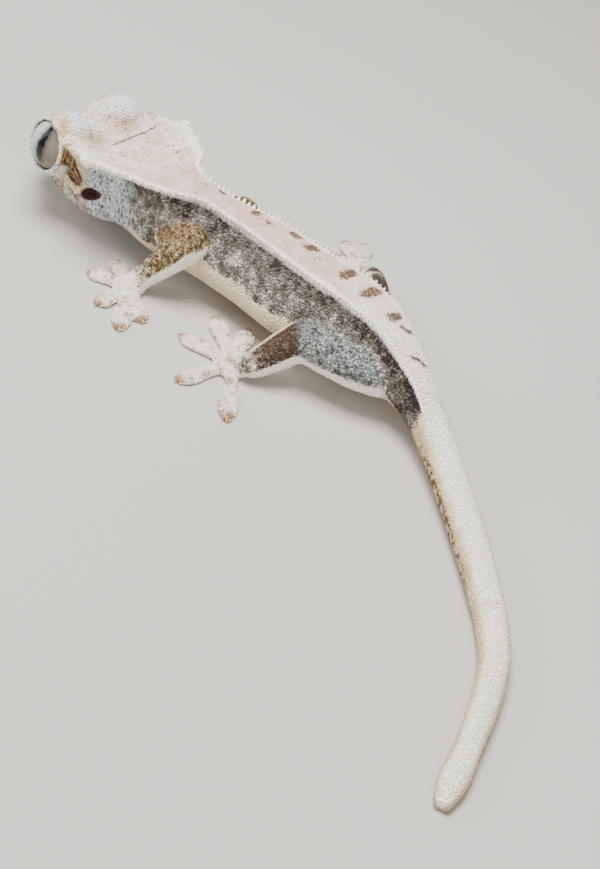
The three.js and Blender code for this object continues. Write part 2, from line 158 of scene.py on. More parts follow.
TRUNK = (
    Station(16.9, 1.85, 3.05, 4.15, 4.9, 8.0, 7.5, 1.65, 0),
    Station(14.3, 2.05, 2.65, 4.1, 4.0, 8.1, 7.6, 1.9, 0),
    Station(12.2, 2.15, 2.6, 3.9, 2.6, 8.0, 7.7, 1.7, 0),
    Station(9.9, 1.35, 2.8, 3.6, 1.3, 7.6, 7.5, 1.3, 0),
    Station(8.0, 0.6, 3.05, 3.4, 1.2, 7.1, 7.1, 1.0, 0),
    Station(5.0, 0.05, 3.3, 3.3, 1.45, 6.9, 6.9, 0.8, 0),
    Station(0.5, 0, 3.4, 3.2, 1.7, 6.9, 6.9, 0.7, 0),
    Station(-3.6, -0.2, 3.0, 3.3, 1.78, 6.8, 6.8, 0.9, 0),
    Station(-6.6, 0.15, 2.4, 3.4, 1.4, 6.5, 6.5, 1.3, 0.1),
    Station(-9.3, 0.85, 1.7, 3.3, 1.0, 5.6, 5.6, 1.6, 0.35),
    Station(-11.4, 1.5, 1.35, 2.8, 0.65, 4.7, 4.7, 1.3, 0.8),
    Station(-13.7, 2.5, 1.3, 2.0, 0.6, 3.4, 3.4, 0.7, 1),
    Station(-16.9, 4.5, 1.28, 1.4, 0.5, 2.6, 2.6, 0.2, 1),
    Station(-20.35, 7.05, 1.24, 1.1, 0.5, 2.25, 2.25, -0.02, 1),
    Station(-23.35, 9.55, 1.16, 1.0, 0.5, 2.05, 2.05, -0.04, 1),
    Station(-25.7, 11.7, 1.08, 0.9, 0.45, 1.9, 1.9, -0.04, 1),
    Station(-27.6, 14.05, 1.0, 0.85, 0.4, 1.75, 1.75, -0.04, 1),
    Station(-29.0, 16.9, 0.95, 0.8, 0.4, 1.65, 1.65, -0.04, 1),
    Station(-30.15, 19.8, 0.87, 0.7, 0.35, 1.45, 1.45, -0.04, 1),
    Station(-31.1, 22.6, 0.9, 0.6, 0.35, 1.25, 1.25, -0.04, 1),
    Station(-31.6, 24.1, 0.5, 0.45, 0.2, 0.9, 0.9, -0.02, 1),
)

HEAD_PLACE = (16.3, 1.85)
HEAD = tuple(
    Station(x + HEAD_PLACE[0], HEAD_PLACE[1], *sizes)
    for x, *sizes in (
        (0, 3.2, 4.1, 4.9, 8.0, 7.5, 1.5, 0),
        (1.4, 3.6, 3.85, 4.55, 7.95, 7.4, 1.3, 0),
        (2.7, 3.65, 3.7, 4.3, 7.9, 7.2, 1.35, 0),
        (4.3, 3.4, 3.6, 3.9, 7.7, 6.9, 1.55, 0),
        (5.9, 2.9, 3.6, 2.9, 7.2, 6.5, 2.0, 0.1),
        (7.3, 2.5, 3.6, 2.0, 6.4, 6.1, 2.2, 0.3),
        (8.6, 1.95, 3.7, 1.3, 5.6, 5.4, 2.5, 0.6),
        (9.4, 1.15, 3.8, 0.7, 4.9, 4.8, 3.0, 0.9),
    )
)


@dataclass(frozen=True)
class Leg:
    """One leg: its joints from the body to the wrist or ankle, its radii, its palm and its toe tips."""

    joints: tuple[Point, Point, Point]
    upper: tuple[float, float]
    lower: tuple[float, float]
    palm: tuple[float, float]
    palm_radius: float
    tips: tuple[tuple[float, float], ...]
    hind: bool


LEGS = (
    Leg(
        joints=((11.9, 2.9, 4.0), (8.4, 3.7, 4.9), (10.9, 5.5, 1.1)),
        upper=(1.35, 1.2),
        lower=(1.2, 0.85),
        palm=(11.3, 6.4),
        palm_radius=1.2,
        tips=((14.3, 4.8), (14.4, 7.4), (11.2, 9.6), (8.2, 10.2), (7.9, 8.2)),
        hind=False,
    ),
    Leg(
        joints=((11.9, 0.8, 4.0), (9.4, -2.6, 4.6), (12.3, -3.9, 1.1)),
        upper=(1.35, 1.2),
        lower=(1.2, 0.85),
        palm=(12.9, -4.7),
        palm_radius=1.2,
        tips=((15.6, -2.9), (16.3, -5.2), (15.0, -7.6), (11.9, -7.9), (10.0, -5.9)),
        hind=False,
    ),
    Leg(
        joints=((-7.9, 1.3, 3.2), (-2.2, 3.5, 3.4), (-0.6, 6.2, 1.25)),
        upper=(1.75, 1.5),
        lower=(1.35, 0.95),
        palm=(1.0, 6.3),
        palm_radius=1.45,
        tips=((3.1, 2.4), (5.6, 3.3), (5.5, 7.0), (2.1, 10.7), (-2.8, 10.8)),
        hind=True,
    ),
    Leg(
        joints=((-7.7, -0.5, 2.9), (-2.3, -4.3, 2.8), (1.0, -8.9, 1.25)),
        upper=(1.55, 1.3),
        lower=(1.2, 0.85),
        palm=(3.0, -10.1),
        palm_radius=1.3,
        tips=((5.0, -7.2), (6.9, -9.6), (6.5, -12.1), (5.4, -13.1), (0.2, -8.2)),
        hind=True,
    ),
)

# Fullness of a limb at shares of its length, and how far it runs past each joint in radii
LIMB_ROWS = (
    (0, 0.35),
    (0.06, 0.74),
    (0.15, 0.98),
    (0.4, 1.12),
    (0.65, 1.06),
    (0.86, 0.96),
    (0.95, 0.72),
    (1, 0.35),
)
LIMB_PAST = 0.75

# Half width and thickness of a toe at shares of its length from the palm to the tip
TOE_ROWS = (
    (-0.15, 0.5, 0.6),
    (0.3, 0.52, 0.56),
    (0.52, 0.72, 0.52),
    (0.74, 0.84, 0.5),
    (0.9, 0.6, 0.46),
    (1, 0.22, 0.34),
)

# Middle and half height of a toe in thicknesses, and its root in palm radii
TOE_MIDDLE = 0.45
TOE_HALF = 0.63
TOE_ROOT = 0.55

# The left eyeball, and the way that its lids face
EYE_X = HEAD_PLACE[0] + 5.2
EYE_SIDE = 2.65
EYE_Z = 5.8
EYE_RADIUS = 2.05
LID_AHEAD = 0.2
LID_OUT = 0.96
LID_UP = 0.2

# Where the rings of the tail are, in millimetres along the body from the front of the head
TAIL_RINGS = (53.9, 59.1)


def on_side(point: Point, side: Side) -> Point:
    """A point of the head on one side, whose middle number is its distance from the head's midline."""
    return point[0], HEAD_PLACE[1] + side.value * point[1], point[2]


class Frame:
    """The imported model, loaded as the fixed frame that everything is built around."""

    def __init__(self) -> None:
        """Loads the model and finds where the animal's own origin lies in it."""
        self.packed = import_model()
        self.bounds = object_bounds()
        low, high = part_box("eye_left")
        eye = np.array((low + high) / 2) / MM
        self.offset = eye - np.array((EYE_X, HEAD_PLACE[1] + EYE_SIDE, EYE_Z))

    def place(self, points: np.ndarray) -> np.ndarray:
        """Points of the animal's own frame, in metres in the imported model's frame."""
        return (np.asarray(points, float) + self.offset) * MM


# Clay: closed forms that are pressed together into one body


@dataclass
class Form:
    """A closed surface in millimetres, with what is known at each of its points.

    unwrap places the points on a flat plan of the body, and facts holds one number for each point by name.
    """

    points: np.ndarray
    triangles: np.ndarray
    unwrap: np.ndarray
    facts: dict[str, np.ndarray] = field(default_factory=dict)


@dataclass(frozen=True)
class Tile:
    """A rectangle of the flat plan that one form is laid out on."""

    left: float
    low: float
    width: float
    height: float

    def lay(self, along: np.ndarray, around: np.ndarray) -> np.ndarray:
        """Places on the plan of points that lie at these shares along and around a form."""
        return np.stack([self.left + along * self.width, self.low + around * self.height], -1)


def form_over(rings: np.ndarray, tile: Tile, facts: dict[str, np.ndarray]) -> Form:
    """A closed form over a row of rings, with a fan over each end.

    Args:
        rings: Points as an array of rows, columns and coordinates.
        tile: Where the form lies on the flat plan.
        facts: Numbers for each point of the rings, by name.

    Returns:
        The closed form.
    """
    rows, columns = rings.shape[:2]
    ids = np.arange(rows * columns).reshape(rows, columns)
    ahead, turned = ids[1:], np.roll(ids, -1, 1)
    a, b, c, d = ids[:-1], turned[:-1], turned[1:], ahead
    sides = np.concatenate([np.stack([a, b, c], -1).reshape(-1, 3), np.stack([a, c, d], -1).reshape(-1, 3)])
    first, last = rows * columns, rows * columns + 1
    fans = np.concatenate(
        [
            np.stack([turned[0], ids[0], np.full(columns, first)], -1),
            np.stack([ids[-1], turned[-1], np.full(columns, last)], -1),
        ]
    )
    points = np.concatenate([rings.reshape(-1, 3), rings[0].mean(0)[None], rings[-1].mean(0)[None]])
    faces = np.concatenate([sides, fans])
    corners = points[faces]
    volume = np.einsum("ij,ij->i", corners[:, 0], np.cross(corners[:, 1], corners[:, 2])).sum()
    if volume < 0:
        faces = faces[:, ::-1]
    along, around = np.meshgrid(np.linspace(0, 1, rows), (np.arange(columns) + 0.5) / columns, indexing="ij")
    plan = tile.lay(along, around).reshape(-1, 2)
    plan = np.concatenate([plan, plan[:1], plan[-1:]])
    known = {name: np.concatenate([v.ravel(), v.ravel()[:1], v.ravel()[-1:]]) for name, v in facts.items()}
    return Form(points, faces.astype(np.uint32), plan, known)


class Loft:
    """A smooth surface through a row of stations."""

    RIDGE = 0.23
    UNDER = 0.62
    LIP = 0.5
    NUDGE = 0.05
    SLOPE = 0.75

    def __init__(self, stations: Sequence[Station]) -> None:
        """Keeps the stations as one array for each size.

        Args:
            stations: Cross-sections from one end to the other.
        """
        self.names = tuple(Station.__dataclass_fields__)
        self.table = np.array([[getattr(s, name) for name in self.names] for s in stations], float)
        self.last = len(stations) - 1
        steps = np.diff(self.table[:, :2], axis=0)
        self.spans = np.hypot(steps[:, 0], steps[:, 1])
        self.reached = np.concatenate([[0], np.cumsum(self.spans)])

    def sizes(self, places: np.ndarray) -> dict[str, np.ndarray]:
        """All sizes at places that are counted in stations.

        Args:
            places: Places from 0 to the last station.

        Returns:
            An array for each size by name, and the heading of the spine under "heading".
        """

        def at(where: np.ndarray) -> np.ndarray:
            """One row of all sizes for each place, on smooth curves through the stations.

            Args:
                where: Places that are counted in stations.

            Returns:
                An array with a row for each place.
            """
            i = np.clip(np.floor(where).astype(int), 0, self.last - 1)
            u = (where - i)[:, None]
            run = self.spans[i][:, None]
            before = self.spans[np.maximum(i - 1, 0)][:, None]
            after = self.spans[np.minimum(i + 1, self.last - 1)][:, None]
            value = [self.table[np.clip(i + k, 0, self.last)] for k in (-1, 0, 1, 2)]
            flat = value[2] - value[1]
            first = ((value[1] - value[0]) / before + flat / run) / 2 * run
            second = (flat / run + (value[3] - value[2]) / after) / 2 * run
            m0 = np.where((i > 0)[:, None], first, flat)
            m1 = np.where((i + 1 < self.last)[:, None], second, flat)
            return (
                (2 * u**3 - 3 * u**2 + 1) * value[1]
                + (u**3 - 2 * u**2 + u) * m0
                + (3 * u**2 - 2 * u**3) * value[2]
                + (u**3 - u**2) * m1
            )

        places = np.asarray(places, float)
        found = dict(zip(self.names, at(places).T))
        run = at(np.maximum(places - self.NUDGE, 0)) - at(np.minimum(places + self.NUDGE, self.last))
        found["heading"] = np.arctan2(run[:, 1], run[:, 0])
        return found

    def section(self, s: dict[str, np.ndarray], turns: np.ndarray) -> tuple[np.ndarray, np.ndarray]:
        """Cross-sections as distances sideways and heights.

        Args:
            s: Sizes at each row.
            turns: Places round the section, from 0 on the back over 0.5 on the belly to 1.

        Returns:
            Two arrays of rows by columns.
        """
        s = {name: value[:, None] for name, value in s.items()}
        side = np.where(turns <= 0.5, 1, -1)[None]
        t = np.where(turns <= 0.5, turns * 2, (1 - turns) * 2)[None]
        oval_x = s["half"] * np.sin(t * np.pi)
        drop = np.where(t < 0.5, s["back"] - s["wide"], s["wide"] - s["belly"])
        oval_z = s["wide"] + drop * np.cos(t * np.pi)
        u = t / self.RIDGE
        top_x, top_z = s["gap"] * u, s["back"] + (s["crest"] - s["back"]) * u * u
        u = np.clip((t - self.RIDGE) / (self.UNDER - self.RIDGE), 0, 1)
        reach = (u + np.sin(u * np.pi / 2)) / 2
        fall = 0.4 * u + 0.6 * (1 - np.cos(u * np.pi / 2))
        flank_x = s["gap"] + (s["half"] - s["gap"]) * reach
        flank_z = (s["crest"] - self.LIP) + (s["wide"] - s["crest"] + self.LIP) * fall
        u = np.clip((t - self.UNDER) / (1 - self.UNDER), 0, 1)
        low_x = s["half"] * np.cos(u * np.pi / 2).clip(0) ** 0.85
        low_z = s["wide"] - (s["wide"] - s["belly"]) * np.sin(u * np.pi / 2) ** 0.9
        x = np.where(t <= self.RIDGE, top_x, np.where(t <= self.UNDER, flank_x, low_x))
        z = np.where(t <= self.RIDGE, top_z, np.where(t <= self.UNDER, flank_z, low_z))
        x = x + (oval_x - x) * s["round"]
        z = z + (oval_z - z) * s["round"]
        return side * x, z

    def surface(self, places: np.ndarray, columns: int) -> tuple[np.ndarray, np.ndarray]:
        """Rings of points at places along the stations.

        Args:
            places: Places that are counted in stations.
            columns: Number of points in a ring.

        Returns:
            The points, and for each 0 on the back to 1 on the belly.
        """
        s = self.sizes(places)
        turns = (np.arange(columns) + 0.5) / columns
        sideways, height = self.section(s, turns)
        x = s["x"][:, None] - np.sin(s["heading"])[:, None] * sideways
        y = s["y"][:, None] + np.cos(s["heading"])[:, None] * sideways
        around = np.where(turns <= 0.5, turns * 2, (1 - turns) * 2)
        return np.stack([x, y, height.clip(0)], -1), np.broadcast_to(around, x.shape)

    def crest(self, places: np.ndarray, side: Side, rise: float) -> tuple[np.ndarray, np.ndarray]:
        """Points on the crest of one side.

        Args:
            places: Places that are counted in stations.
            side: Left or right.
            rise: How far above the crest the points lie.

        Returns:
            The points, and the way that a spine points at each.
        """
        s = self.sizes(places)
        out = np.stack([-np.sin(s["heading"]), np.cos(s["heading"]), np.zeros(len(places))], -1) * side.value
        points = np.stack([s["x"], s["y"], s["crest"] + rise], -1) + out * s["gap"][:, None]
        lean = out * self.SLOPE + np.array([0, 0, self.SLOPE])
        return points, lean / np.linalg.norm(lean, axis=1)[:, None]

    def evenly(self, step: float, start: float = 0.0, end: float | None = None) -> np.ndarray:
        """Places one step apart in millimetres between two distances along the stations."""
        distances = np.arange(start, self.reached[-1] if end is None else end, step)
        return np.interp(distances, self.reached, np.arange(self.last + 1))


class Clay:
    """A body of clay, held as the distance to its surface at every point of a fine grid."""

    FAR = 1.2

    def __init__(self, low: Point, high: Point, grain: float) -> None:
        """Makes an empty block.

        Args:
            low: Its lower corner in millimetres.
            high: Its upper corner.
            grain: Distance between two points of the grid.
        """
        self.grain = grain
        self.low = np.floor(np.array(low) / grain).astype(int)
        self.shape = np.ceil(np.array(high) / grain).astype(int) - self.low + 1
        self.depth = np.full(self.shape, self.FAR, np.float32)

    def _block(self, low: np.ndarray, high: np.ndarray) -> tuple[slice, slice, slice]:
        """The part of the grid within reach of a box.

        Args:
            low: The box's lower corner.
            high: Its upper corner.

        Returns:
            A slice for each axis.
        """
        first = np.floor((low - self.FAR) / self.grain).astype(int) - self.low
        last = np.ceil((high + self.FAR) / self.grain).astype(int) - self.low + 1
        return tuple(slice(int(max(a, 0)), int(min(b, n))) for a, b, n in zip(first, last, self.shape))

    def _coordinates(self, block: tuple[slice, slice, slice]) -> list[np.ndarray]:
        """Coordinates of the points of a part of the grid, as three arrays that spread over one another."""
        axes = [(np.arange(s.start, s.stop) + o) * self.grain for s, o in zip(block, self.low)]
        return list(np.meshgrid(*axes, indexing="ij", sparse=True))

    def _merge(
        self, block: tuple[slice, slice, slice], distance: np.ndarray, soft: float, cut: bool
    ) -> None:
        """Joins a form to a part of the grid, or cuts it out, with a rounded edge.

        Args:
            block: The part of the grid.
            distance: Distance to the form's surface at each of its points.
            soft: Width of the rounded edge.
            cut: True to cut the form out.
        """
        old = self.depth[block]
        a, b = (-old, distance) if cut else (old, distance)
        share = np.clip(0.5 + 0.5 * (b - a) / soft, 0, 1)
        joined = b + (a - b) * share - soft * share * (1 - share)
        self.depth[block] = -joined if cut else joined

    def press(self, form: Form, soft: float = 0.2) -> None:
        """Adds a closed form, blended into the body over a soft edge.

        Args:
            form: The closed form.
            soft: Width of the soft edge in millimetres.
        """
        block = self._block(form.points.min(0), form.points.max(0))
        grid = openvdb.FloatGrid.createLevelSetFromPolygons(
            form.points.astype(np.float32),
            triangles=np.ascontiguousarray(form.triangles),
            transform=openvdb.createLinearTransform(voxelSize=self.grain),
            halfWidth=self.FAR / self.grain,
        )
        found = np.zeros([s.stop - s.start for s in block], np.float32)
        grid.copyToArray(found, ijk=tuple(int(s.start + o) for s, o in zip(block, self.low)))
        self._merge(block, found, soft, cut=False)

    def ball(
        self, centre: Point, radii: Point, soft: float = 0.2, cut: bool = False, tip: float = 0.0
    ) -> None:
        """Adds an oval ball, or cuts one out.

        Args:
            centre: Its middle.
            radii: Its three radii.
            soft: Width of the rounded edge where it meets the body.
            cut: True to cut it out.
            tip: Degrees that its front is tipped upwards.
        """
        centre, radii = np.array(centre, float), np.array(radii, float)
        reach = np.full(3, radii.max())
        block = self._block(centre - reach, centre + reach)
        x, y, z = (axis - c for axis, c in zip(self._coordinates(block), centre))
        rise = math.radians(tip)
        front = x * math.cos(rise) + z * math.sin(rise)
        up = z * math.cos(rise) - x * math.sin(rise)
        local = (front, y, up)
        k0 = np.sqrt(sum((c / r) ** 2 for c, r in zip(local, radii)))
        k1 = np.sqrt(sum((c / r**2) ** 2 for c, r in zip(local, radii)))
        self._merge(block, (k0 * (k0 - 1) / np.maximum(k1, 1e-6)).astype(np.float32), soft, cut)

    def score(self, line: Sequence[Point], width: float, depth: float) -> None:
        """Draws a groove along a line of points.

        Args:
            line: Points of the line.
            width: Distance over which the groove fades.
            depth: Its depth. Below zero it is a raised fold.
        """
        line = np.array(line, float)
        block = self._block(line.min(0), line.max(0))
        near = np.full([s.stop - s.start for s in block], 1e9, np.float32)
        x, y, z = self._coordinates(block)
        for start, end in zip(line, line[1:]):
            run = end - start
            length = float(run @ run)
            share = ((x - start[0]) * run[0] + (y - start[1]) * run[1] + (z - start[2]) * run[2]) / length
            share = np.clip(share, 0, 1)
            gap = sum((c - s - share * r) ** 2 for c, s, r in zip((x, y, z), start, run))
            near = np.minimum(near, gap)
        self.depth[block] += depth * np.exp(-near / width**2)

    def swell(self, amount: float) -> None:
        """Grows the whole body outwards, or shrinks it where the amount is below zero."""
        self.depth -= amount

    def flatten(self, floor: float, soft: float) -> None:
        """Cuts the body off level with the floor, with a rounded edge.

        Args:
            floor: Height of the cut.
            soft: Width of the rounded edge.
        """
        block = tuple(slice(0, n) for n in self.shape)
        z = self._coordinates(block)[2]
        self._merge(block, np.broadcast_to(z - floor, self.shape).astype(np.float32), soft, cut=True)

    def skin(self) -> tuple[np.ndarray, np.ndarray]:
        """The body's surface.

        Returns:
            Its points in millimetres, and its faces of four corners each.
        """
        grid = openvdb.FloatGrid(self.FAR)
        grid.copyFromArray(self.depth, ijk=tuple(int(v) for v in self.low))
        grid.transform = openvdb.createLinearTransform(voxelSize=self.grain)
        points, quads = grid.convertToQuads(0.0)
        points, quads = np.asarray(points, float), np.asarray(quads, int)
        corners = points[quads]
        first, second = corners[:, 1] - corners[:, 0], corners[:, 2] - corners[:, 0]
        outward = np.einsum("ij,ij->i", corners[:, 0] - points.mean(0), np.cross(first, second)).sum()
        if outward < 0:
            quads = quads[:, ::-1]
        return points, quads


# Meshes


def make_mesh(name: str, points: np.ndarray, faces: np.ndarray) -> bpy.types.Object:
    """A mesh object at the origin, with its place in its mesh.

    Args:
        name: Name of the piece.
        points: Its points in metres.
        faces: Its faces, each with the same number of corners.

    Returns:
        The new object, shaded smoothly.
    """
    mesh = bpy.data.meshes.new(name)
    mesh.vertices.add(len(points))
    mesh.vertices.foreach_set("co", np.asarray(points, np.float32).ravel())
    corners = faces.shape[1]
    mesh.loops.add(faces.size)
    mesh.loops.foreach_set("vertex_index", faces.astype(np.int32).ravel())
    mesh.polygons.add(len(faces))
    mesh.polygons.foreach_set("loop_start", np.arange(0, faces.size, corners, dtype=np.int32))
    mesh.update(calc_edges=True)
    mesh.validate()
    mesh.shade_smooth()
    piece = bpy.data.objects.new(name, mesh)
    bpy.context.scene.collection.objects.link(piece)
    return piece


def note(piece: bpy.types.Object, name: str, values: np.ndarray) -> None:
    """Keeps one number for each point of a piece under a name."""
    attribute = piece.data.attributes.new(name, "FLOAT", "POINT")
    attribute.data.foreach_set("value", np.asarray(values, np.float32))


def smooth_over(values: np.ndarray, edges: np.ndarray, rounds: int) -> np.ndarray:
    """Spreads values along a mesh's edges, so that steps between regions become soft.

    Args:
        values: One value, or one row of values, for each point.
        edges: Pairs of points.
        rounds: How many times the values spread.

    Returns:
        The softened values.
    """
    values = np.asarray(values, float).copy()
    count = np.bincount(edges.ravel(), minlength=len(values)).astype(float).clip(1)
    columns = values.reshape(len(values), -1)
    for _ in range(rounds):
        for c in range(columns.shape[1]):
            total = np.bincount(edges[:, 0], columns[edges[:, 1], c], len(values))
            total += np.bincount(edges[:, 1], columns[edges[:, 0], c], len(values))
            columns[:, c] = 0.5 * columns[:, c] + 0.5 * total / count
    return columns.reshape(values.shape)


# Shader maths as expressions


class Value:
    """A shader socket that takes part in sums."""

    def __init__(self, tree: Tree, socket: bpy.types.NodeSocket) -> None:
        """Keeps the socket and the tree that it belongs to."""
        self.tree = tree
        self.socket = socket

    def maths(self, operation: str, *others: Value | float) -> Value:
        """This value and others put through one Math node."""
        inputs = dict(enumerate((self, *others)))
        return self.tree.node("ShaderNodeMath", {"operation": operation}, inputs)

    def __add__(self, other: Value | float) -> Value:
        """Sum."""
        return self.maths("ADD", other)

    def __mul__(self, other: Value | float) -> Value:
        """Product."""
        return self.maths("MULTIPLY", other)

    def __sub__(self, other: Value | float) -> Value:
        """Difference."""
        return self.maths("SUBTRACT", other)

    def __truediv__(self, other: Value | float) -> Value:
        """Quotient."""
        return self.maths("DIVIDE", other)

    def clamp(self) -> Value:
        """This value kept between 0 and 1."""
        return self.maths("MAXIMUM", 0.0).maths("MINIMUM", 1.0)

    def rise(self, low: float, high: float) -> Value:
        """A soft step from 0 to 1. With low above high it falls instead.

        Args:
            low: Where the step starts.
            high: Where it ends.

        Returns:
            The step as a value.
        """
        settings = {"interpolation_type": "SMOOTHSTEP"}
        if low <= high:
            return self.tree.node("ShaderNodeMapRange", settings, {0: self, 1: low, 2: high})
        return self.tree.node("ShaderNodeMapRange", settings, {0: self, 1: high, 2: low, 3: 1.0, 4: 0.0})

    def band(self, low: float, high: float, soft: float) -> Value:
        """1 between low and high, with a soft edge on each side."""
        return self.rise(low - soft, low + soft) * self.rise(high + soft, high - soft)


Input = Value | float | Colour | tuple[float, float, float, float]


class Tree:
    """A node tree of one material, built from expressions."""

    def __init__(self, name: str, **settings: float) -> None:
        """Makes a material with one Principled shader.

        Args:
            name: Name of the finish.
            settings: Uniform values of the shader's own sockets, with underscores for spaces.
        """
        self.material = bpy.data.materials.new(name)
        self.material.use_nodes = True
        self.nodes = self.material.node_tree.nodes
        self.links = self.material.node_tree.links
        self.shader = self.nodes["Principled BSDF"]
        for key, value in settings.items():
            self.shader.inputs[key.replace("_", " ")].default_value = value

    def node(self, kind: str, settings: dict, inputs: dict[int | str, Input], output: int = 0) -> Value:
        """Adds any node.

        Args:
            kind: Its type.
            settings: Its own settings, set first.
            inputs: Values or links of its sockets, by place or name.
            output: Which of its outputs is wanted.

        Returns:
            The output as a value.
        """
        made = self.nodes.new(kind)
        for key, value in settings.items():
            setattr(made, key, value)
        for key, value in inputs.items():
            socket = made.inputs[key]
            if isinstance(value, Value):
                self.links.new(value.socket, socket)
            elif isinstance(value, tuple) and socket.type == "RGBA" and len(value) == 3:
                socket.default_value = (*value, 1.0)
            else:
                socket.default_value = value
        return Value(self, made.outputs[output])

    def fact(self, name: str) -> Value:
        """A number that the piece carries at each point."""
        return self.node("ShaderNodeAttribute", {"attribute_name": name}, {}, output=2)

    def mix(self, share: Value | float, first: Input, second: Input) -> Value:
        """A blend of two colours."""
        settings = {"data_type": "RGBA"}
        return self.node("ShaderNodeMix", settings, {0: share, 6: first, 7: second}, output=2)

    def place(self, offset: np.ndarray) -> Value:
        """The point that is shaded, in millimetres in the animal's own frame.

        Args:
            offset: Where the animal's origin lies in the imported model, in millimetres.

        Returns:
            The place as a vector.
        """
        point = self.node("ShaderNodeTexCoord", {}, {}, output=3)
        scaled = self.node("ShaderNodeVectorMath", {"operation": "SCALE"}, {0: point, 3: 1 / MM})
        start = tuple(map(float, offset))
        return self.node("ShaderNodeVectorMath", {"operation": "SUBTRACT"}, {0: scaled, 1: start})

    def noise(self, place: Value, grain: float, detail: float = 2.0, rough: float = 0.5) -> Value:
        """Soft noise whose patches are about one grain wide, from 0 to 1."""
        inputs = {"Vector": place, "Scale": 1 / grain, "Detail": detail, "Roughness": rough}
        return self.node("ShaderNodeTexNoise", {}, inputs)

    def stretched(self, place: Value, scale: Point) -> Value:
        """The place with its axes stretched, for patterns that run one way."""
        return self.node("ShaderNodeVectorMath", {"operation": "MULTIPLY"}, {0: place, 1: scale})

    def spot(self, place: Value, centre: Point, radius: float, soft: float) -> Value:
        """1 within a radius of a point, fading over a soft edge."""
        gap = self.node("ShaderNodeVectorMath", {"operation": "DISTANCE"}, {0: place, 1: centre}, output=1)
        return gap.rise(radius + soft, radius - soft)

    def warped(self, place: Value, grain: float, amount: float) -> Value:
        """The place pushed about by noise, so that round marks turn ragged.

        Args:
            place: The place.
            grain: Size of the noise's patches.
            amount: How far it pushes.

        Returns:
            The pushed place.
        """
        inputs = {"Vector": place, "Scale": 1 / grain, "Detail": 2.0}
        shifts = self.node("ShaderNodeTexNoise", {}, inputs, output=1)
        middle = (0.5, 0.5, 0.5)
        centred = self.node("ShaderNodeVectorMath", {"operation": "SUBTRACT"}, {0: shifts, 1: middle})
        scaled = self.node("ShaderNodeVectorMath", {"operation": "SCALE"}, {0: centred, 3: amount})
        return self.node("ShaderNodeVectorMath", {"operation": "ADD"}, {0: place, 1: scaled})

    def bump(self, height: Value, distance: float) -> Value:
        """A surface roughened by a height, whose full range is a distance in millimetres."""
        inputs = {"Height": height, "Distance": distance * MM, "Strength": 1.0}
        return self.node("ShaderNodeBump", {}, inputs)

    def dress(self, **inputs: Input) -> bpy.types.Material:
        """Feeds the sockets of the shader that vary over the surface.

        Args:
            inputs: Values of the shader's sockets, with underscores for spaces.

        Returns:
            The finished material.
        """
        for key, value in inputs.items():
            socket = self.shader.inputs[key.replace("_", " ")]
            if isinstance(value, Value):
                self.links.new(value.socket, socket)
            else:
                socket.default_value = value
        return self.material


# Finishes


@dataclass(frozen=True)
class Palette:
    """The animal's colours, as they look in even light. A few of them are also laid where shade falls, as
    painted shade.
    """

    back: Colour = srgb(226, 196, 181)
    back_pale: Colour = srgb(242, 232, 222)
    crest: Colour = srgb(254, 249, 238)
    rust: Colour = srgb(114, 80, 50)
    rust_dark: Colour = srgb(62, 38, 24)
    ochre: Colour = srgb(164, 132, 92)
    flank_dark: Colour = srgb(50, 40, 34)
    flank: Colour = srgb(98, 90, 82)
    flank_pale: Colour = srgb(146, 142, 132)
    flank_speck: Colour = srgb(206, 200, 184)
    belly: Colour = srgb(226, 212, 184)
    dome: Colour = srgb(232, 240, 240)
    crown: Colour = srgb(226, 208, 186)
    crown_tan: Colour = srgb(190, 160, 124)
    cheek: Colour = srgb(206, 184, 144)
    jaw: Colour = srgb(150, 128, 110)
    behind_ear: Colour = srgb(186, 200, 204)
    # Dark maroon of the ear openings: partly their own colour, partly painted shade in the hollows
    ear: Colour = srgb(70, 40, 44)
    lid: Colour = srgb(190, 198, 192)
    brow: Colour = srgb(240, 226, 204)
    arm: Colour = srgb(134, 112, 78)
    arm_dark: Colour = srgb(70, 52, 34)
    arm_pale: Colour = srgb(206, 194, 166)
    thigh: Colour = srgb(128, 132, 130)
    thigh_dark: Colour = srgb(72, 68, 64)
    shank: Colour = srgb(70, 50, 38)
    foot: Colour = srgb(246, 240, 226)
    toe_tip: Colour = srgb(160, 108, 64)
    tail: Colour = srgb(254, 248, 228)
    # Tan of the tail's sides and ring grooves: partly its own colour, partly painted shade
    tail_tan: Colour = srgb(206, 176, 132)
    tail_dark: Colour = srgb(98, 70, 50)


@dataclass(frozen=True)
class Blotch:
    """A rust-brown mark on the back, with the way it is drawn out in degrees from straight ahead."""

    x: float
    y: float
    length: float
    width: float
    turn: float


BLOTCHES = (
    Blotch(9.4, 0.1, 0.46, 0.24, 60),
    Blotch(6.7, -0.55, 0.62, 0.32, 75),
    Blotch(5.5, -0.45, 0.3, 0.2, 30),
    Blotch(3.4, -1.0, 0.54, 0.36, 20),
    Blotch(1.8, -0.8, 0.66, 0.34, 40),
    Blotch(-1.7, -0.75, 0.9, 0.44, 85),
    Blotch(-3.9, -0.65, 0.95, 0.44, 78),
    Blotch(-6.4, -0.2, 0.62, 0.42, 80),
    Blotch(-7.6, -0.15, 0.52, 0.2, 20),
    Blotch(-9.7, 0.72, 0.8, 0.2, 28),
)


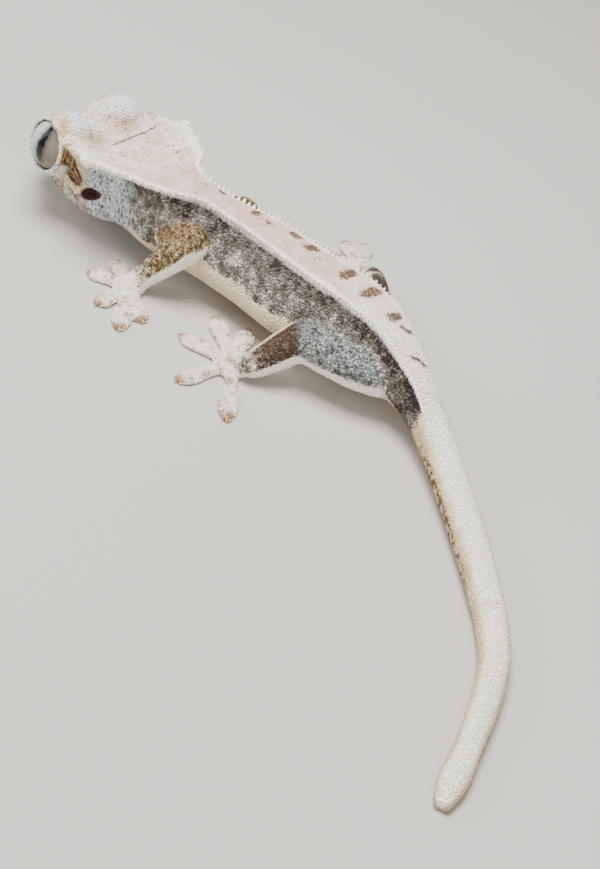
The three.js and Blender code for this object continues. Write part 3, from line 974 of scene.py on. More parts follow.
@dataclass(frozen=True)
class HideFinish:
    """The markings of the hide. The skin and the scales on it carry the same ones."""

    name: str
    offset: np.ndarray
    on_scales: bool
    colours: Palette = Palette()
    neck_start: tuple[float, float] = (12.9, 11.7)
    blue_start: tuple[float, float] = (7.9, 8.6)
    tail_start: tuple[float, float] = (38.6, 39.1)
    crest_edge: tuple[float, float] = (0.238, 0.226)
    crest_band: tuple[float, float] = (0.185, 0.24)
    crown_edge: tuple[float, float] = (0.222, 0.244)
    crown_band: tuple[float, float] = (0.195, 0.246)
    belly_edge: tuple[float, float] = (0.575, 0.6)
    blotch_height: float = 6.6
    blotch_depth: float = 3.0
    # A line of painted shade along the groove across the back of the head, and how it is stretched
    crease: Point = (17.88, 0.96, 7.5)
    crease_shrink: Point = (1.0, 0.05, 0.1)
    temple: tuple[Point, float] = ((19.4, 1.6, 7.3), 0.9)
    dome: tuple[Point, float] = ((20.7, 2.3, 8.2), 1.35)
    patch: tuple[tuple[Point, float], ...] = (
        ((20.2, 3.7, 6.2), 1.0),
        ((19.2, 3.8, 5.9), 1.15),
        ((18.5, 3.8, 5.2), 0.8),
    )
    # The ear opening, painted dark: partly its own colour, partly painted shade in its hollow
    ear: Point = (17.1, 3.5, 4.4)
    ear_size: Point = (1.05, 1.0, 0.54)
    ear_turn: float = 32.0

    def make(self) -> bpy.types.Material:
        """Builds the material.

        Returns:
            The finished material.
        """
        tree = Tree(self.name, Roughness=0.6, Specular_IOR_Level=0.15)
        place = tree.place(self.offset)
        speck = tree.fact("tone") if self.on_scales else tree.noise(place, 0.16, 1.0).rise(0.3, 0.7)
        colour = self.trunk(tree, place, speck)
        colour = self.head(tree, place, colour)
        colour = self.tail(tree, place, colour)
        colour = self.limbs(tree, place, speck, colour)
        shade = speck * 0.14 + 0.9
        colour = tree.node("ShaderNodeVectorMath", {"operation": "SCALE"}, {0: colour, 3: shade})
        rough = tree.noise(place, 0.5, 2.0) * 0.25 + 0.42
        height = tree.noise(place, 0.09, 2.0) * 0.5 + tree.noise(place, 0.6, 2.0)
        return tree.dress(Base_Color=colour, Roughness=rough, Normal=tree.bump(height, 0.03))

    def trunk(self, tree: Tree, place: Value, speck: Value) -> Value:
        """Colours of the back, crest, flanks and belly.

        Args:
            tree: The tree that the nodes go to.
            place: The shaded point.
            speck: A number that differs from scale to scale.

        Returns:
            The colour.
        """
        c = self.colours
        around = tree.fact("around")
        along = tree.fact("along")
        fine = tree.noise(place, 0.2, 3.0, 0.7)
        broad = tree.noise(place, 0.75, 4.0, 0.65)
        tone = broad * 0.75 + fine * 0.35 + speck * 0.14 - 0.12
        # Darker just under the crest: partly the flank's own colour, partly painted shade under the crest's
        # ridge
        tone = tone + around.rise(0.24, 0.46) * 0.13 - 0.07
        tone = tone - along.rise(30, 38) * 0.1
        flank = tree.mix(tone.rise(0.38, 0.47), c.flank_dark, c.flank)
        flank = tree.mix(tone.rise(0.53, 0.62), flank, c.flank_pale)
        flank = tree.mix(tone.rise(0.64, 0.71), flank, c.flank_speck)
        ragged = around + (broad - 0.5) * 0.16
        ragged = ragged - along.rise(33, 38) * 0.2 - along.rise(17.0, 14.5) * 0.09
        colour = tree.mix(ragged.rise(*self.belly_edge), flank, c.belly)
        pale = tree.noise(place, 1.6).rise(0.4, 0.7) * 0.6 + along.rise(26, 34)
        back = tree.mix(pale, c.back, c.back_pale)
        back = self.blotches(tree, place, back)
        edge = around + (fine - 0.5) * 0.03
        colour = tree.mix(edge.rise(*self.crest_edge), colour, back)
        return tree.mix(edge.band(*self.crest_band, 0.01), colour, c.crest)

    def blotches(self, tree: Tree, place: Value, back: Value) -> Value:
        """Rust-brown blotches and dark specks on the back.

        Args:
            tree: The tree that the nodes go to.
            place: The shaded point.
            back: The back's own colour.

        Returns:
            The colour with its marks.
        """
        c = self.colours
        ragged = tree.warped(place, 0.34, 0.75)
        marks = 0.0
        for blotch in BLOTCHES:
            inputs = {
                "Vector": ragged,
                "Location": (blotch.x, blotch.y, self.blotch_height),
                "Rotation": (0.0, 0.0, math.radians(blotch.turn)),
                "Scale": (blotch.length, blotch.width, self.blotch_depth),
            }
            local = tree.node("ShaderNodeMapping", {"vector_type": "TEXTURE"}, inputs)
            reach = tree.node("ShaderNodeVectorMath", {"operation": "LENGTH"}, {0: local}, 1)
            marks = reach.rise(1.3, 0.7) + marks
        marks = marks.clamp()
        cores = tree.noise(place, 0.3, 2.0, 0.6).rise(0.45, 0.55)
        mark = tree.mix(cores, c.rust, c.rust_dark)
        mark = tree.mix(tree.noise(place, 0.22, 2.0, 0.6).rise(0.56, 0.62), mark, c.ochre)
        specks = tree.noise(place, 0.32, 1.0).rise(0.66, 0.71) * tree.noise(place, 2.2).rise(0.42, 0.55)
        back = tree.mix(marks * 0.92, back, mark)
        return tree.mix(specks * 0.65, back, c.rust)

    def head(self, tree: Tree, place: Value, colour: Value) -> Value:
        """Colours of the crown, domes, cheeks, jaw and ears, laid over the trunk's.

        Args:
            tree: The tree that the nodes go to.
            place: The shaded point.
            colour: The colour that it is laid over.

        Returns:
            The colour.
        """
        c = self.colours
        along = tree.fact("along")
        around = tree.fact("around")
        height = tree.node("ShaderNodeSeparateXYZ", {}, {0: place}, output=2)
        ragged = tree.warped(place, 0.6, 0.6)
        fine = tree.noise(place, 0.25, 3.0, 0.7)
        broad = tree.noise(place, 0.7, 3.0, 0.65)
        cheek = tree.mix((fine + broad - 0.5).rise(0.5, 0.62), c.cheek, c.crest)
        jaw = tree.mix((fine + broad - 0.5).rise(0.42, 0.56), c.jaw, c.flank_speck)
        jaw = tree.mix(tree.noise(place, 0.3, 2.0, 0.6).rise(0.6, 0.68), jaw, c.flank_dark)
        face = tree.mix((height + (broad - 0.5) * 1.6).rise(3.6, 4.2), jaw, cheek)
        streaks = tree.noise(tree.stretched(place, (1.0, 1.0, 0.45)), 0.2, 4.0, 0.65)
        blue = tree.mix(streaks.rise(0.38, 0.5), c.flank, c.behind_ear)
        blue = tree.mix(streaks.rise(0.53, 0.6) * 0.8, blue, c.crest)
        face = tree.mix((along + (broad - 0.5) * 1.5).rise(*self.blue_start), face, blue)
        top = tree.mix(tree.noise(place, 0.9, 3.0).rise(0.4, 0.6), c.crown, c.back_pale)
        for side in Side:
            face, top = self.half_head(tree, place, ragged, side, face, top)
        # Painted shade: a dark line in the groove across the back of the crown
        middle = tuple(value * share for value, share in zip(self.crease, self.crease_shrink))
        crease = tree.spot(tree.stretched(ragged, self.crease_shrink), middle, 0.13, 0.05)
        top = tree.mix(crease * 0.8, top, c.rust_dark)
        specks = tree.noise(place, 0.34, 1.0).rise(0.64, 0.69) * along.rise(2.6, 5.5)
        top = tree.mix(specks * 0.6, top, c.rust_dark)
        edge = around + along.rise(8.5, 6.5) * 0.035
        whole = tree.mix(edge.rise(*self.crown_edge), top, face)
        rim = around.band(*self.crown_band, 0.01) * along.rise(6.9, 7.6)
        whole = tree.mix(rim, whole, c.crest)
        for side in Side:
            whole = self.lids(tree, place, side, whole)
        return tree.mix((along + (broad - 0.5) * 2.0).rise(*self.neck_start), colour, whole)

    def half_head(
        self, tree: Tree, place: Value, ragged: Value, side: Side, face: Value, top: Value
    ) -> tuple[Value, Value]:
        """The dome, rust-brown patch and ear of one side, laid over its face and crown.

        Args:
            tree: The tree that the nodes go to.
            place: The shaded point.
            ragged: The shaded point, pushed about by noise.
            side: Left or right.
            face: Colour of the face.
            top: Colour of the crown.

        Returns:
            The face and the crown with their marks.
        """
        c = self.colours
        centre, radius = self.temple
        top = tree.mix(tree.spot(ragged, on_side(centre, side), radius, 0.5) * 0.8, top, c.crown_tan)
        centre, radius = self.dome
        top = tree.mix(tree.spot(ragged, on_side(centre, side), radius, 0.4), top, c.dome)
        patch = 0.0
        for centre, radius in self.patch:
            patch = tree.spot(ragged, on_side(centre, side), radius, 0.22) + patch
        mark = tree.mix(tree.noise(place, 0.35, 3.0, 0.65).rise(0.42, 0.54), c.ochre, c.rust)
        mark = tree.mix(tree.noise(place, 0.3, 2.0, 0.6).rise(0.48, 0.56), mark, c.rust_dark)
        face = tree.mix(patch.clamp(), face, mark)
        inputs = {
            "Vector": place,
            "Location": on_side(self.ear, side),
            "Rotation": (0.0, math.radians(self.ear_turn), 0.0),
            "Scale": self.ear_size,
        }
        ear = tree.node("ShaderNodeMapping", {"vector_type": "TEXTURE"}, inputs)
        # Painted shade, with the ear's own dark colour, over the hollow of the ear opening
        return tree.mix(tree.spot(ear, (0.0, 0.0, 0.0), 0.95, 0.15), face, c.ear), top

    def lids(self, tree: Tree, place: Value, side: Side, whole: Value) -> Value:
        """The rim of one eye: cream along the brow and pale blue-grey below.

        Args:
            tree: The tree that the nodes go to.
            place: The shaded point.
            side: Left or right.
            whole: The colour that it is laid over.

        Returns:
            The colour with the rim.
        """
        c = self.colours
        eye = on_side((EYE_X, EYE_SIDE, EYE_Z), side)
        reach = tree.node("ShaderNodeVectorMath", {"operation": "SUBTRACT"}, {0: place, 1: eye})
        distance = tree.node("ShaderNodeVectorMath", {"operation": "LENGTH"}, {0: reach}, 1)
        facing = (LID_AHEAD, LID_OUT * side.value, LID_UP)
        ahead = tree.node("ShaderNodeVectorMath", {"operation": "DOT_PRODUCT"}, {0: reach, 1: facing}, 1)
        share = ahead / distance
        near = distance.rise(3.1, 2.8)
        height = tree.node("ShaderNodeSeparateXYZ", {}, {0: reach}, output=2)
        lower = tree.mix(tree.noise(place, 0.3, 2.0).rise(0.4, 0.6), c.lid, c.crest)
        ring = share.rise(0.16, 0.3) * height.rise(-0.1, -0.5) * near
        whole = tree.mix(ring, whole, lower)
        brow = share.rise(0.47, 0.52) * height.rise(-0.4, 0.0) * near
        return tree.mix(brow, whole, c.brow)

    def tail(self, tree: Tree, place: Value, colour: Value) -> Value:
        """Colours of the tail, laid over the trunk's.

        Args:
            tree: The tree that the nodes go to.
            place: The shaded point.
            colour: The colour that it is laid over.

        Returns:
            The colour.
        """
        c = self.colours
        along = tree.fact("along")
        around = tree.fact("around")
        ragged = along + (tree.noise(place, 0.7, 3.0) - 0.5) * 1.6
        # The tail's sides and underside turn tan: partly its own colour, partly painted shade
        tan = tree.noise(place, 1.0, 3.0).rise(0.35, 0.7) * 0.35 + around.rise(0.14, 0.42) * 0.9
        pale = tree.mix((tan * around.rise(0.06, 0.34)).clamp() * 0.9, c.tail, c.tail_tan)
        edge = tree.noise(place, 0.45, 3.0, 0.6).rise(0.44, 0.54) * around.band(0.4, 0.75, 0.05)
        pale = tree.mix(edge * along.band(40.5, 52.0, 2.0), pale, c.tail_dark)
        # Painted shade: tan lines in the grooves of the tail's rings
        slanted = along + (around - 0.5) * 0.5
        for ring in TAIL_RINGS:
            pale = tree.mix(slanted.band(ring, ring + 0.12, 0.06) * 0.5, pale, c.tail_tan)
        return tree.mix(ragged.rise(*self.tail_start), colour, pale)

    def limbs(self, tree: Tree, place: Value, speck: Value, colour: Value) -> Value:
        """Colours of the legs, hands and feet, laid over the trunk's.

        Args:
            tree: The tree that the nodes go to.
            place: The shaded point.
            speck: A number that differs from scale to scale.
            colour: The colour that it is laid over.

        Returns:
            The colour.
        """
        c = self.colours
        reach = tree.fact("reach")
        broad = tree.noise(place, 0.42, 4.0, 0.7)
        fine = tree.noise(place, 0.2, 2.0, 0.7)
        tone = broad * 0.7 + fine * 0.3 + speck * 0.12 - 0.06
        arm = tree.mix(tone.rise(0.4, 0.52), c.arm_dark, c.arm)
        arm = tree.mix((tone + reach.rise(0.8, 1.6) * 0.05).rise(0.56, 0.66), arm, c.arm_pale)
        thigh = tree.mix(tone.rise(0.42, 0.51), c.thigh_dark, c.thigh)
        thigh = tree.mix(tone.rise(0.54, 0.64), thigh, c.lid)
        shank = tree.mix(tone.rise(0.48, 0.62), c.shank, c.flank)
        leg = tree.mix((reach + (broad - 0.5) * 1.8).rise(0.85, 1.15), thigh, shank)
        leg = tree.mix(tree.fact("front").rise(0.5, 0.7) * reach.rise(0.85, 1.05), leg, c.belly)
        upper = tree.mix(tree.fact("hind"), arm, leg)
        dots = tree.noise(place, 0.28, 1.0).rise(0.66, 0.72)
        foot = tree.mix(tree.noise(place, 0.7, 3.0).rise(0.35, 0.65) * 0.5, c.foot, c.arm_pale)
        foot = tree.mix(dots * 0.8, foot, c.arm_dark)
        foot = tree.mix(tree.noise(place, 0.8, 2.0).rise(0.56, 0.66) * 0.6, foot, c.arm)
        foot = tree.mix((reach + (broad - 0.5) * 0.25).rise(2.78, 2.98), foot, c.toe_tip)
        whole = tree.mix((reach + (broad - 0.5) * 0.6).rise(1.7, 2.0), upper, foot)
        whole = tree.mix((tree.fact("under") + (fine - 0.5) * 0.25).rise(0.22, 0.4), whole, c.crest)
        return tree.mix((tree.fact("limb") + (broad - 0.5) * 0.9).rise(0.3, 0.7), colour, whole)


@dataclass(frozen=True)
class PlainFinish:
    """A finish of one colour that varies softly, with fine bumps."""

    name: str
    first: Colour
    second: Colour
    grain: float
    roughness: float
    offset: np.ndarray
    bump: float = 0.01

    def make(self) -> bpy.types.Material:
        """Builds the material.

        Returns:
            The finished material.
        """
        tree = Tree(self.name, Roughness=self.roughness)
        place = tree.place(self.offset)
        cloud = tree.noise(place, self.grain, 2.0)
        colour = tree.mix(cloud.rise(0.35, 0.65), self.first, self.second)
        return tree.dress(Base_Color=colour, Normal=tree.bump(tree.noise(place, self.grain / 6), self.bump))


@dataclass(frozen=True)
class EyeFinish:
    """A silver-grey iris with fine veins round an upright slit, under a wet surface, and painted shade round
    its edge next to the lids.
    """

    name: str
    centre: np.ndarray
    turn: tuple[float, float, float]
    ahead: float
    offset: np.ndarray
    front: Colour = srgb(178, 192, 192)
    rear: Colour = srgb(128, 119, 106)
    # Colour of the veins, also laid round the iris's edge as painted shade
    vein: Colour = srgb(88, 80, 70)
    shadow: Colour = srgb(52, 50, 46)
    pupil: Colour = srgb(12, 11, 11)

    def make(self) -> bpy.types.Material:
        """Builds the material.

        Returns:
            The finished material.
        """
        tree = Tree(self.name, Roughness=0.25, Coat_Weight=0.3, Coat_Roughness=0.05, Specular_IOR_Level=0.2)
        place = tree.place(self.offset)
        inputs = {
            "Vector": place,
            "Location": tuple(map(float, self.centre)),
            "Rotation": self.turn,
            "Scale": (EYE_RADIUS,) * 3,
        }
        local = tree.node("ShaderNodeMapping", {"vector_type": "TEXTURE"}, inputs)
        across = tree.node("ShaderNodeSeparateXYZ", {}, {0: local}, output=0)
        height = tree.node("ShaderNodeSeparateXYZ", {}, {0: local}, output=1)
        flat = tree.stretched(local, (1, 1, 0))
        radius = tree.node("ShaderNodeVectorMath", {"operation": "LENGTH"}, {0: flat}, 1)
        veins = tree.noise(tree.stretched(local, (2.6, 0.8, 1.0)), 0.14, 3.0, 0.6)
        colour = tree.mix((across * self.ahead).rise(-0.12, 0.2), self.rear, self.front)
        colour = tree.mix(veins.rise(0.48, 0.68) * 0.55, colour, self.vein)
        jag = tree.node("ShaderNodeMath", {"operation": "SINE"}, {0: height * 22.0}) * 0.012
        slit = (height * height * -0.15 + 0.13 + jag) - across.maths("ABSOLUTE")
        colour = tree.mix(slit.rise(-0.22, 0.0) * 0.75, colour, self.shadow)
        colour = tree.mix(slit.rise(-0.012, 0.012) * radius.rise(0.92, 0.86), colour, self.pupil)
        # Painted shade: the iris darkens towards its edge, where the lids overlap the eyeball
        colour = tree.mix(radius.rise(0.82, 0.98) * 0.7, colour, self.vein)
        return tree.dress(Base_Color=colour)


# The animal


@dataclass(frozen=True)
class Lump:
    """A rounded form on the face, or a hollow. Its place is counted from the head's own origin."""

    place: Point
    radii: Point
    soft: float
    cut: bool = False
    tip: float = 0.0


@dataclass(frozen=True)
class Groove:
    """A groove along a line of points, or a raised fold where its depth is below zero."""

    line: tuple[Point, ...]
    width: float
    depth: float


@dataclass
class Hide:
    """The skin: one closed surface over the whole body, a coat's depth inside the solids."""

    frame: Frame
    finish: bpy.types.Material
    grain: float = 0.143
    coat_depth: float = 0.05
    flat_blend: float = 0.12
    low: Point = (-33.5, -15.0, -0.5)
    high: Point = (27.5, 26.0, 10.0)
    slice: float = 0.18
    columns: int = 96
    neck_overlap: float = 0.6
    head_blend: float = 0.05
    neck_blend: float = 0.5
    hip_blend: float = 0.32
    knee_blend: float = 0.4
    toe_blend: float = 0.28
    palm_height: float = 0.7
    palm_radii: tuple[float, float] = (0.8, 0.55)
    pad_height: float = 0.4
    pad_half: float = 0.64
    pad_blend: float = 0.45
    leg_along: float = 25.0
    leg_around: float = 0.6
    lid_radius: float = 2.34
    lid_blend: float = 0.25
    lid_opening: float = 52.0
    lid_edge: float = 0.12
    opening_away: float = 3.0
    rim: tuple[float, float] = (0.2, -0.13)
    socket_gap: float = 0.02
    socket_edge: float = 0.06
    dome: Lump = Lump((4.4, 2.45, 7.0), (1.65, 1.5, 1.8), 0.3)
    lumps: tuple[Lump, ...] = (
        Lump((0.9, 3.6, 4.4), (0.66, 0.6, 0.4), 0.15, cut=True, tip=-32),
        Lump((8.5, 1.5, 4.7), (0.2, 0.25, 0.15), 0.08, cut=True),
        Lump((0.3, 4.85, 7.95), (0.51, 0.34, 0.34), 0.3),
    )
    mouth: Groove = Groove(
        (
            (2.4, 3.5, 3.6),
            (4.2, 3.4, 3.4),
            (6.0, 2.9, 3.3),
            (7.6, 2.4, 3.35),
            (8.8, 1.75, 3.45),
            (9.5, 0.6, 3.5),
            (9.6, 0.0, 3.5),
        ),
        0.14,
        0.22,
    )
    throat: Groove = Groove(((15.2, 3.3, 4.6), (12.6, 3.0, 5.0), (10.4, 2.8, 5.5)), 0.2, 0.14)
    creases: tuple[Groove, ...] = (
        Groove(
            ((12.9, 4.9, 4.7), (11.8, 4.6, 5.4), (10.2, 4.3, 5.8), (8.9, 4.1, 5.9), (7.7, 3.6, 5.4)),
            0.2,
            0.16,
        ),
        Groove(((-1.6, 3.2, 5.0), (-4.2, 2.7, 4.9), (-6.6, 2.1, 4.7), (-8.2, 1.6, 4.4)), 0.24, 0.2),
        Groove(((17.85, 3.1, 7.6), (17.96, 0.8, 7.5), (17.8, -1.1, 7.6)), 0.16, 0.3),
    )
    ring_width: float = 0.1
    ring_depth: float = 0.06
    shaded: Point = (-0.5, 0.0, -0.85)

    names = ("along", "around", "limb", "reach", "hind")

    def __post_init__(self) -> None:
        """Builds the skin's surface and what is known at each of its points."""
        self.trunk = Loft(TRUNK)
        self.head = Loft(HEAD[::-1])
        self.neck = self.head.reached[-1] - self.neck_overlap
        self.forms: list[Form] = []
        self.clay = Clay(self.low, self.high, self.grain)
        self._press_trunk()
        self._press_legs()
        for side in Side:
            self._model_face(side)
        self._fold()
        self.clay.swell(-self.coat_depth)
        self.clay.flatten(self.coat_depth / 2, self.flat_blend)
        self.points, self.faces = self._surface()
        self.edges = self._edges(self.faces)
        self.piece = make_mesh("skin", self.frame.place(self.points), self.faces)
        self.piece.data.materials.append(self.finish)
        self.facts = self._facts()
        for name, values in self.facts.items():
            note(self.piece, name, values)
        self.tree = BVHTree.FromPolygons(self.points.tolist(), self.faces.tolist())

    def _press_trunk(self) -> None:
        """The head, neck, torso and tail."""
        total = self.neck + self.trunk.reached[-1]
        lofts = ((self.head, 0.0, self.head_blend), (self.trunk, self.neck, self.neck_blend))
        for loft, start, soft in lofts:
            places = loft.evenly(self.slice)
            rings, around = loft.surface(places, self.columns)
            along = start + np.interp(places, np.arange(loft.last + 1), loft.reached)
            tile = Tile(0.01 + 0.97 * start / total, 0.01, 0.97 * loft.reached[-1] / total, 0.46)
            facts = {"along": np.broadcast_to(along[:, None], around.shape), "around": around}
            form = form_over(rings, tile, facts)
            self.forms.append(form)
            self.clay.press(form, soft)

    def _press_legs(self) -> None:
        """The legs, with their hands and feet."""
        for number, leg in enumerate(LEGS):
            left = 0.01 + 0.245 * number
            root, middle, end = (np.array(joint, float) for joint in leg.joints)
            tiles = [Tile(left + 0.075 * step, 0.5, 0.07, 0.2) for step in range(3)]
            self._press_limb(leg, (root, middle), leg.upper, tiles[0], 0, self.hip_blend)
            self._press_limb(leg, (middle, end), leg.lower, tiles[1], 1, self.knee_blend)
            palm = np.array([*leg.palm, self.palm_height])
            self._press_limb(leg, (end, palm), self.palm_radii, tiles[2], 1.4, self.knee_blend)
            pad = (leg.palm_radius, leg.palm_radius, self.pad_half)
            self.clay.ball((*leg.palm, self.pad_height), pad, self.pad_blend)
            for toe, tip in enumerate(leg.tips):
                self._press_toe(leg, np.array([*tip, 0.0]), Tile(left + 0.045 * toe, 0.74, 0.04, 0.24))

    def _press_limb(
        self,
        leg: Leg,
        ends: tuple[np.ndarray, np.ndarray],
        radii: tuple[float, float],
        tile: Tile,
        step: float,
        soft: float,
    ) -> None:
        """One tapered length of a leg, rounded past each joint.

        Args:
            leg: The leg that it belongs to.
            ends: Its two joints.
            radii: Its radius at each.
            tile: Where it lies on the flat plan.
            step: How far down the leg it starts, in lengths.
            soft: Width of the blend with the body.
        """
        start, end = ends
        ahead = (end - start) / np.linalg.norm(end - start)
        first, last = start - ahead * LIMB_PAST * radii[0], end + ahead * LIMB_PAST * radii[1]
        side = np.cross([0, 0, 1], ahead)
        side /= np.linalg.norm(side)
        up = np.cross(ahead, side)
        shares = np.linspace(0, 1, 40)
        fullness = np.interp(shares, *zip(*LIMB_ROWS))
        fullness = np.convolve(np.pad(fullness, 2, "edge"), np.ones(5) / 5, "valid")
        radius = (radii[0] + (radii[1] - radii[0]) * shares) * fullness
        angles = np.linspace(0, math.tau, 32, endpoint=False)
        middle = first + (last - first) * shares[:, None]
        ring = np.cos(angles)[:, None] * side + np.sin(angles)[:, None] * up
        rings = middle[:, None] + radius[:, None, None] * ring[None]
        self._keep(leg, rings, tile, np.broadcast_to((step + shares)[:, None], rings.shape[:2]), soft)

    def _press_toe(self, leg: Leg, tip: np.ndarray, tile: Tile) -> None:
        """One toe with a leaf-shaped pad, flat on the floor.

        Args:
            leg: The leg that it belongs to.
            tip: Its tip on the floor.
            tile: Where it lies on the flat plan.
        """
        palm = np.array([*leg.palm, 0.0])
        ahead = (tip - palm) / np.linalg.norm(tip - palm)
        root = palm + ahead * leg.palm_radius * TOE_ROOT
        side = np.array([-ahead[1], ahead[0], 0.0])
        shares = np.linspace(-0.15, 1, 26)
        knots, halves, thicks = (np.array(column) for column in zip(*TOE_ROWS))
        half = np.convolve(np.pad(np.interp(shares, knots, halves), 2, "edge"), np.ones(5) / 5, "valid")
        thick = np.interp(shares, knots, thicks)
        angles = np.linspace(0, math.tau, 24, endpoint=False)
        middle = root + (tip - root) * shares[:, None]
        rings = middle[:, None] + (half[:, None] * np.cos(angles))[..., None] * side
        rings[..., 2] = thick[:, None] * (TOE_MIDDLE + TOE_HALF * np.sin(angles))
        reach = np.broadcast_to((2 + shares.clip(0))[:, None], rings.shape[:2])
        self._keep(leg, rings, tile, reach, self.toe_blend)

    def _keep(self, leg: Leg, rings: np.ndarray, tile: Tile, reach: np.ndarray, soft: float) -> None:
        """Presses one form of a leg into the clay and keeps what is known about it.

        Args:
            leg: The leg that it belongs to.
            rings: Its rings of points.
            tile: Where it lies on the flat plan.
            reach: How far down the leg each point is, in lengths.
            soft: Width of the blend with the body.
        """
        rings[..., 2] = rings[..., 2].clip(0)
        ones = np.ones(rings.shape[:2])
        facts = {
            "limb": ones,
            "reach": reach,
            "hind": ones * leg.hind,
            "along": ones * self.leg_along,
            "around": ones * self.leg_around,
        }
        form = form_over(rings, tile, facts)
        self.forms.append(form)
        self.clay.press(form, soft)

    def _model_face(self, side: Side) -> None:
        """One side's dome, lids, socket, ear, nostril, corner of the crest and line of the mouth.

        Args:
            side: Left or right.
        """
        eye = np.array(on_side((EYE_X, EYE_SIDE, EYE_Z), side))
        facing = np.array([LID_AHEAD, LID_OUT * side.value, LID_UP])
        facing /= np.linalg.norm(facing)
        self._add(self.dome, side)
        self.clay.ball(tuple(eye), (self.lid_radius,) * 3, self.lid_blend)
        across = np.cross(facing, [0, 0, 1])
        across /= np.linalg.norm(across)
        upright = np.cross(across, facing)
        angle = math.radians(self.lid_opening)
        turns = np.linspace(0, math.tau, 33)[:, None]
        rim = np.cos(turns) * across + np.sin(turns) * upright
        rim = eye + self.lid_radius * (math.cos(angle) * facing + math.sin(angle) * rim)
        self.clay.score([tuple(point) for point in rim], *self.rim)
        away, lid = self.opening_away, self.lid_radius
        reach = math.sqrt(away**2 + lid**2 - 2 * away * lid * math.cos(angle))
        self.clay.ball(tuple(eye + away * facing), (reach,) * 3, self.lid_edge, cut=True)
        self.clay.ball(tuple(eye), (EYE_RADIUS + self.socket_gap,) * 3, self.socket_edge, cut=True)
        for lump in self.lumps:
            self._add(lump, side)
        line = [on_side((HEAD_PLACE[0] + ahead, out, up), side) for ahead, out, up in self.mouth.line]
        self.clay.score(line, self.mouth.width, self.mouth.depth)

    def _add(self, lump: Lump, side: Side) -> None:
        """Adds one rounded form or hollow to one side of the face."""
        ahead, out, up = lump.place
        centre = on_side((HEAD_PLACE[0] + ahead, out, up), side)
        self.clay.ball(centre, lump.radii, lump.soft, cut=lump.cut, tip=lump.tip)

    def _fold(self) -> None:
        """Creases and folds of loose skin, and the rings of the tail."""
        for side in Side:
            line = [on_side(point, side) for point in self.throat.line]
            self.clay.score(line, self.throat.width, self.throat.depth)
        for crease in self.creases:
            self.clay.score(list(crease.line), crease.width, crease.depth)
        for ring in TAIL_RINGS:
            place = np.interp(ring - self.neck, self.trunk.reached, np.arange(self.trunk.last + 1))
            circle, _ = self.trunk.surface(np.array([place]), 24)
            self.clay.score([tuple(point) for point in circle[0]], self.ring_width, self.ring_depth)

    def _surface(self) -> tuple[np.ndarray, np.ndarray]:
        """The clay's surface, smoothed a little, without loose scraps.

        Returns:
            Its points and its four-cornered faces.
        """
        points, quads = self.clay.skin()
        edges = self._edges(quads)
        points = smooth_over(points, edges, 1)
        label = np.arange(len(points))
        while True:
            low = np.minimum(label[edges[:, 0]], label[edges[:, 1]])
            spread = label.copy()
            np.minimum.at(spread, edges[:, 0], low)
            np.minimum.at(spread, edges[:, 1], low)
            spread = spread[spread]
            if (spread == label).all():
                break
            label = spread
        names, counts = np.unique(label, return_counts=True)
        kept = label == names[counts.argmax()]
        LOG.info("skin: %d of %d points kept", kept.sum(), len(points))
        order = np.cumsum(kept) - 1
        return points[kept], order[quads[kept[quads].all(1)]]

    @staticmethod
    def _edges(quads: np.ndarray) -> np.ndarray:
        """Each edge of a mesh of four-cornered faces once."""
        pairs = np.concatenate([quads[:, [k, (k + 1) % 4]] for k in range(4)])
        return np.unique(np.sort(pairs, 1), axis=0)

    def _facts(self) -> dict[str, np.ndarray]:
        """What is known at each point: the facts of the nearest form, softened, and how the skin faces.

        Returns:
            The facts by name.
        """
        places = np.concatenate([form.points for form in self.forms])
        plans = np.concatenate([form.unwrap for form in self.forms])
        blank = [np.zeros(len(form.points)) for form in self.forms]
        columns = [
            np.concatenate([form.facts.get(name, zero) for form, zero in zip(self.forms, blank)])
            for name in self.names
        ]
        tree = KDTree(len(places))
        for number, point in enumerate(places):
            tree.insert(point, number)
        tree.balance()
        near = np.array([tree.find(point)[1] for point in self.points])
        facts = {}
        for name, column in zip(self.names, columns):
            rounds = 2 if name in ("along", "around") else 4
            facts[name] = smooth_over(column[near], self.edges, rounds)
        normals = np.zeros(len(self.points) * 3, np.float32)
        self.piece.data.vertices.foreach_get("normal", normals)
        normals = smooth_over(normals.reshape(-1, 3), self.edges, 3)
        facts["under"] = normals @ self.shaded
        facts["front"] = normals[:, 0]
        facts["plan_u"] = plans[near, 0]
        facts["plan_v"] = plans[near, 1]
        return facts

    def nearest(self, point: np.ndarray) -> np.ndarray:
        """The skin's nearest point."""
        return np.array(self.tree.find_nearest(Vector(point))[0])


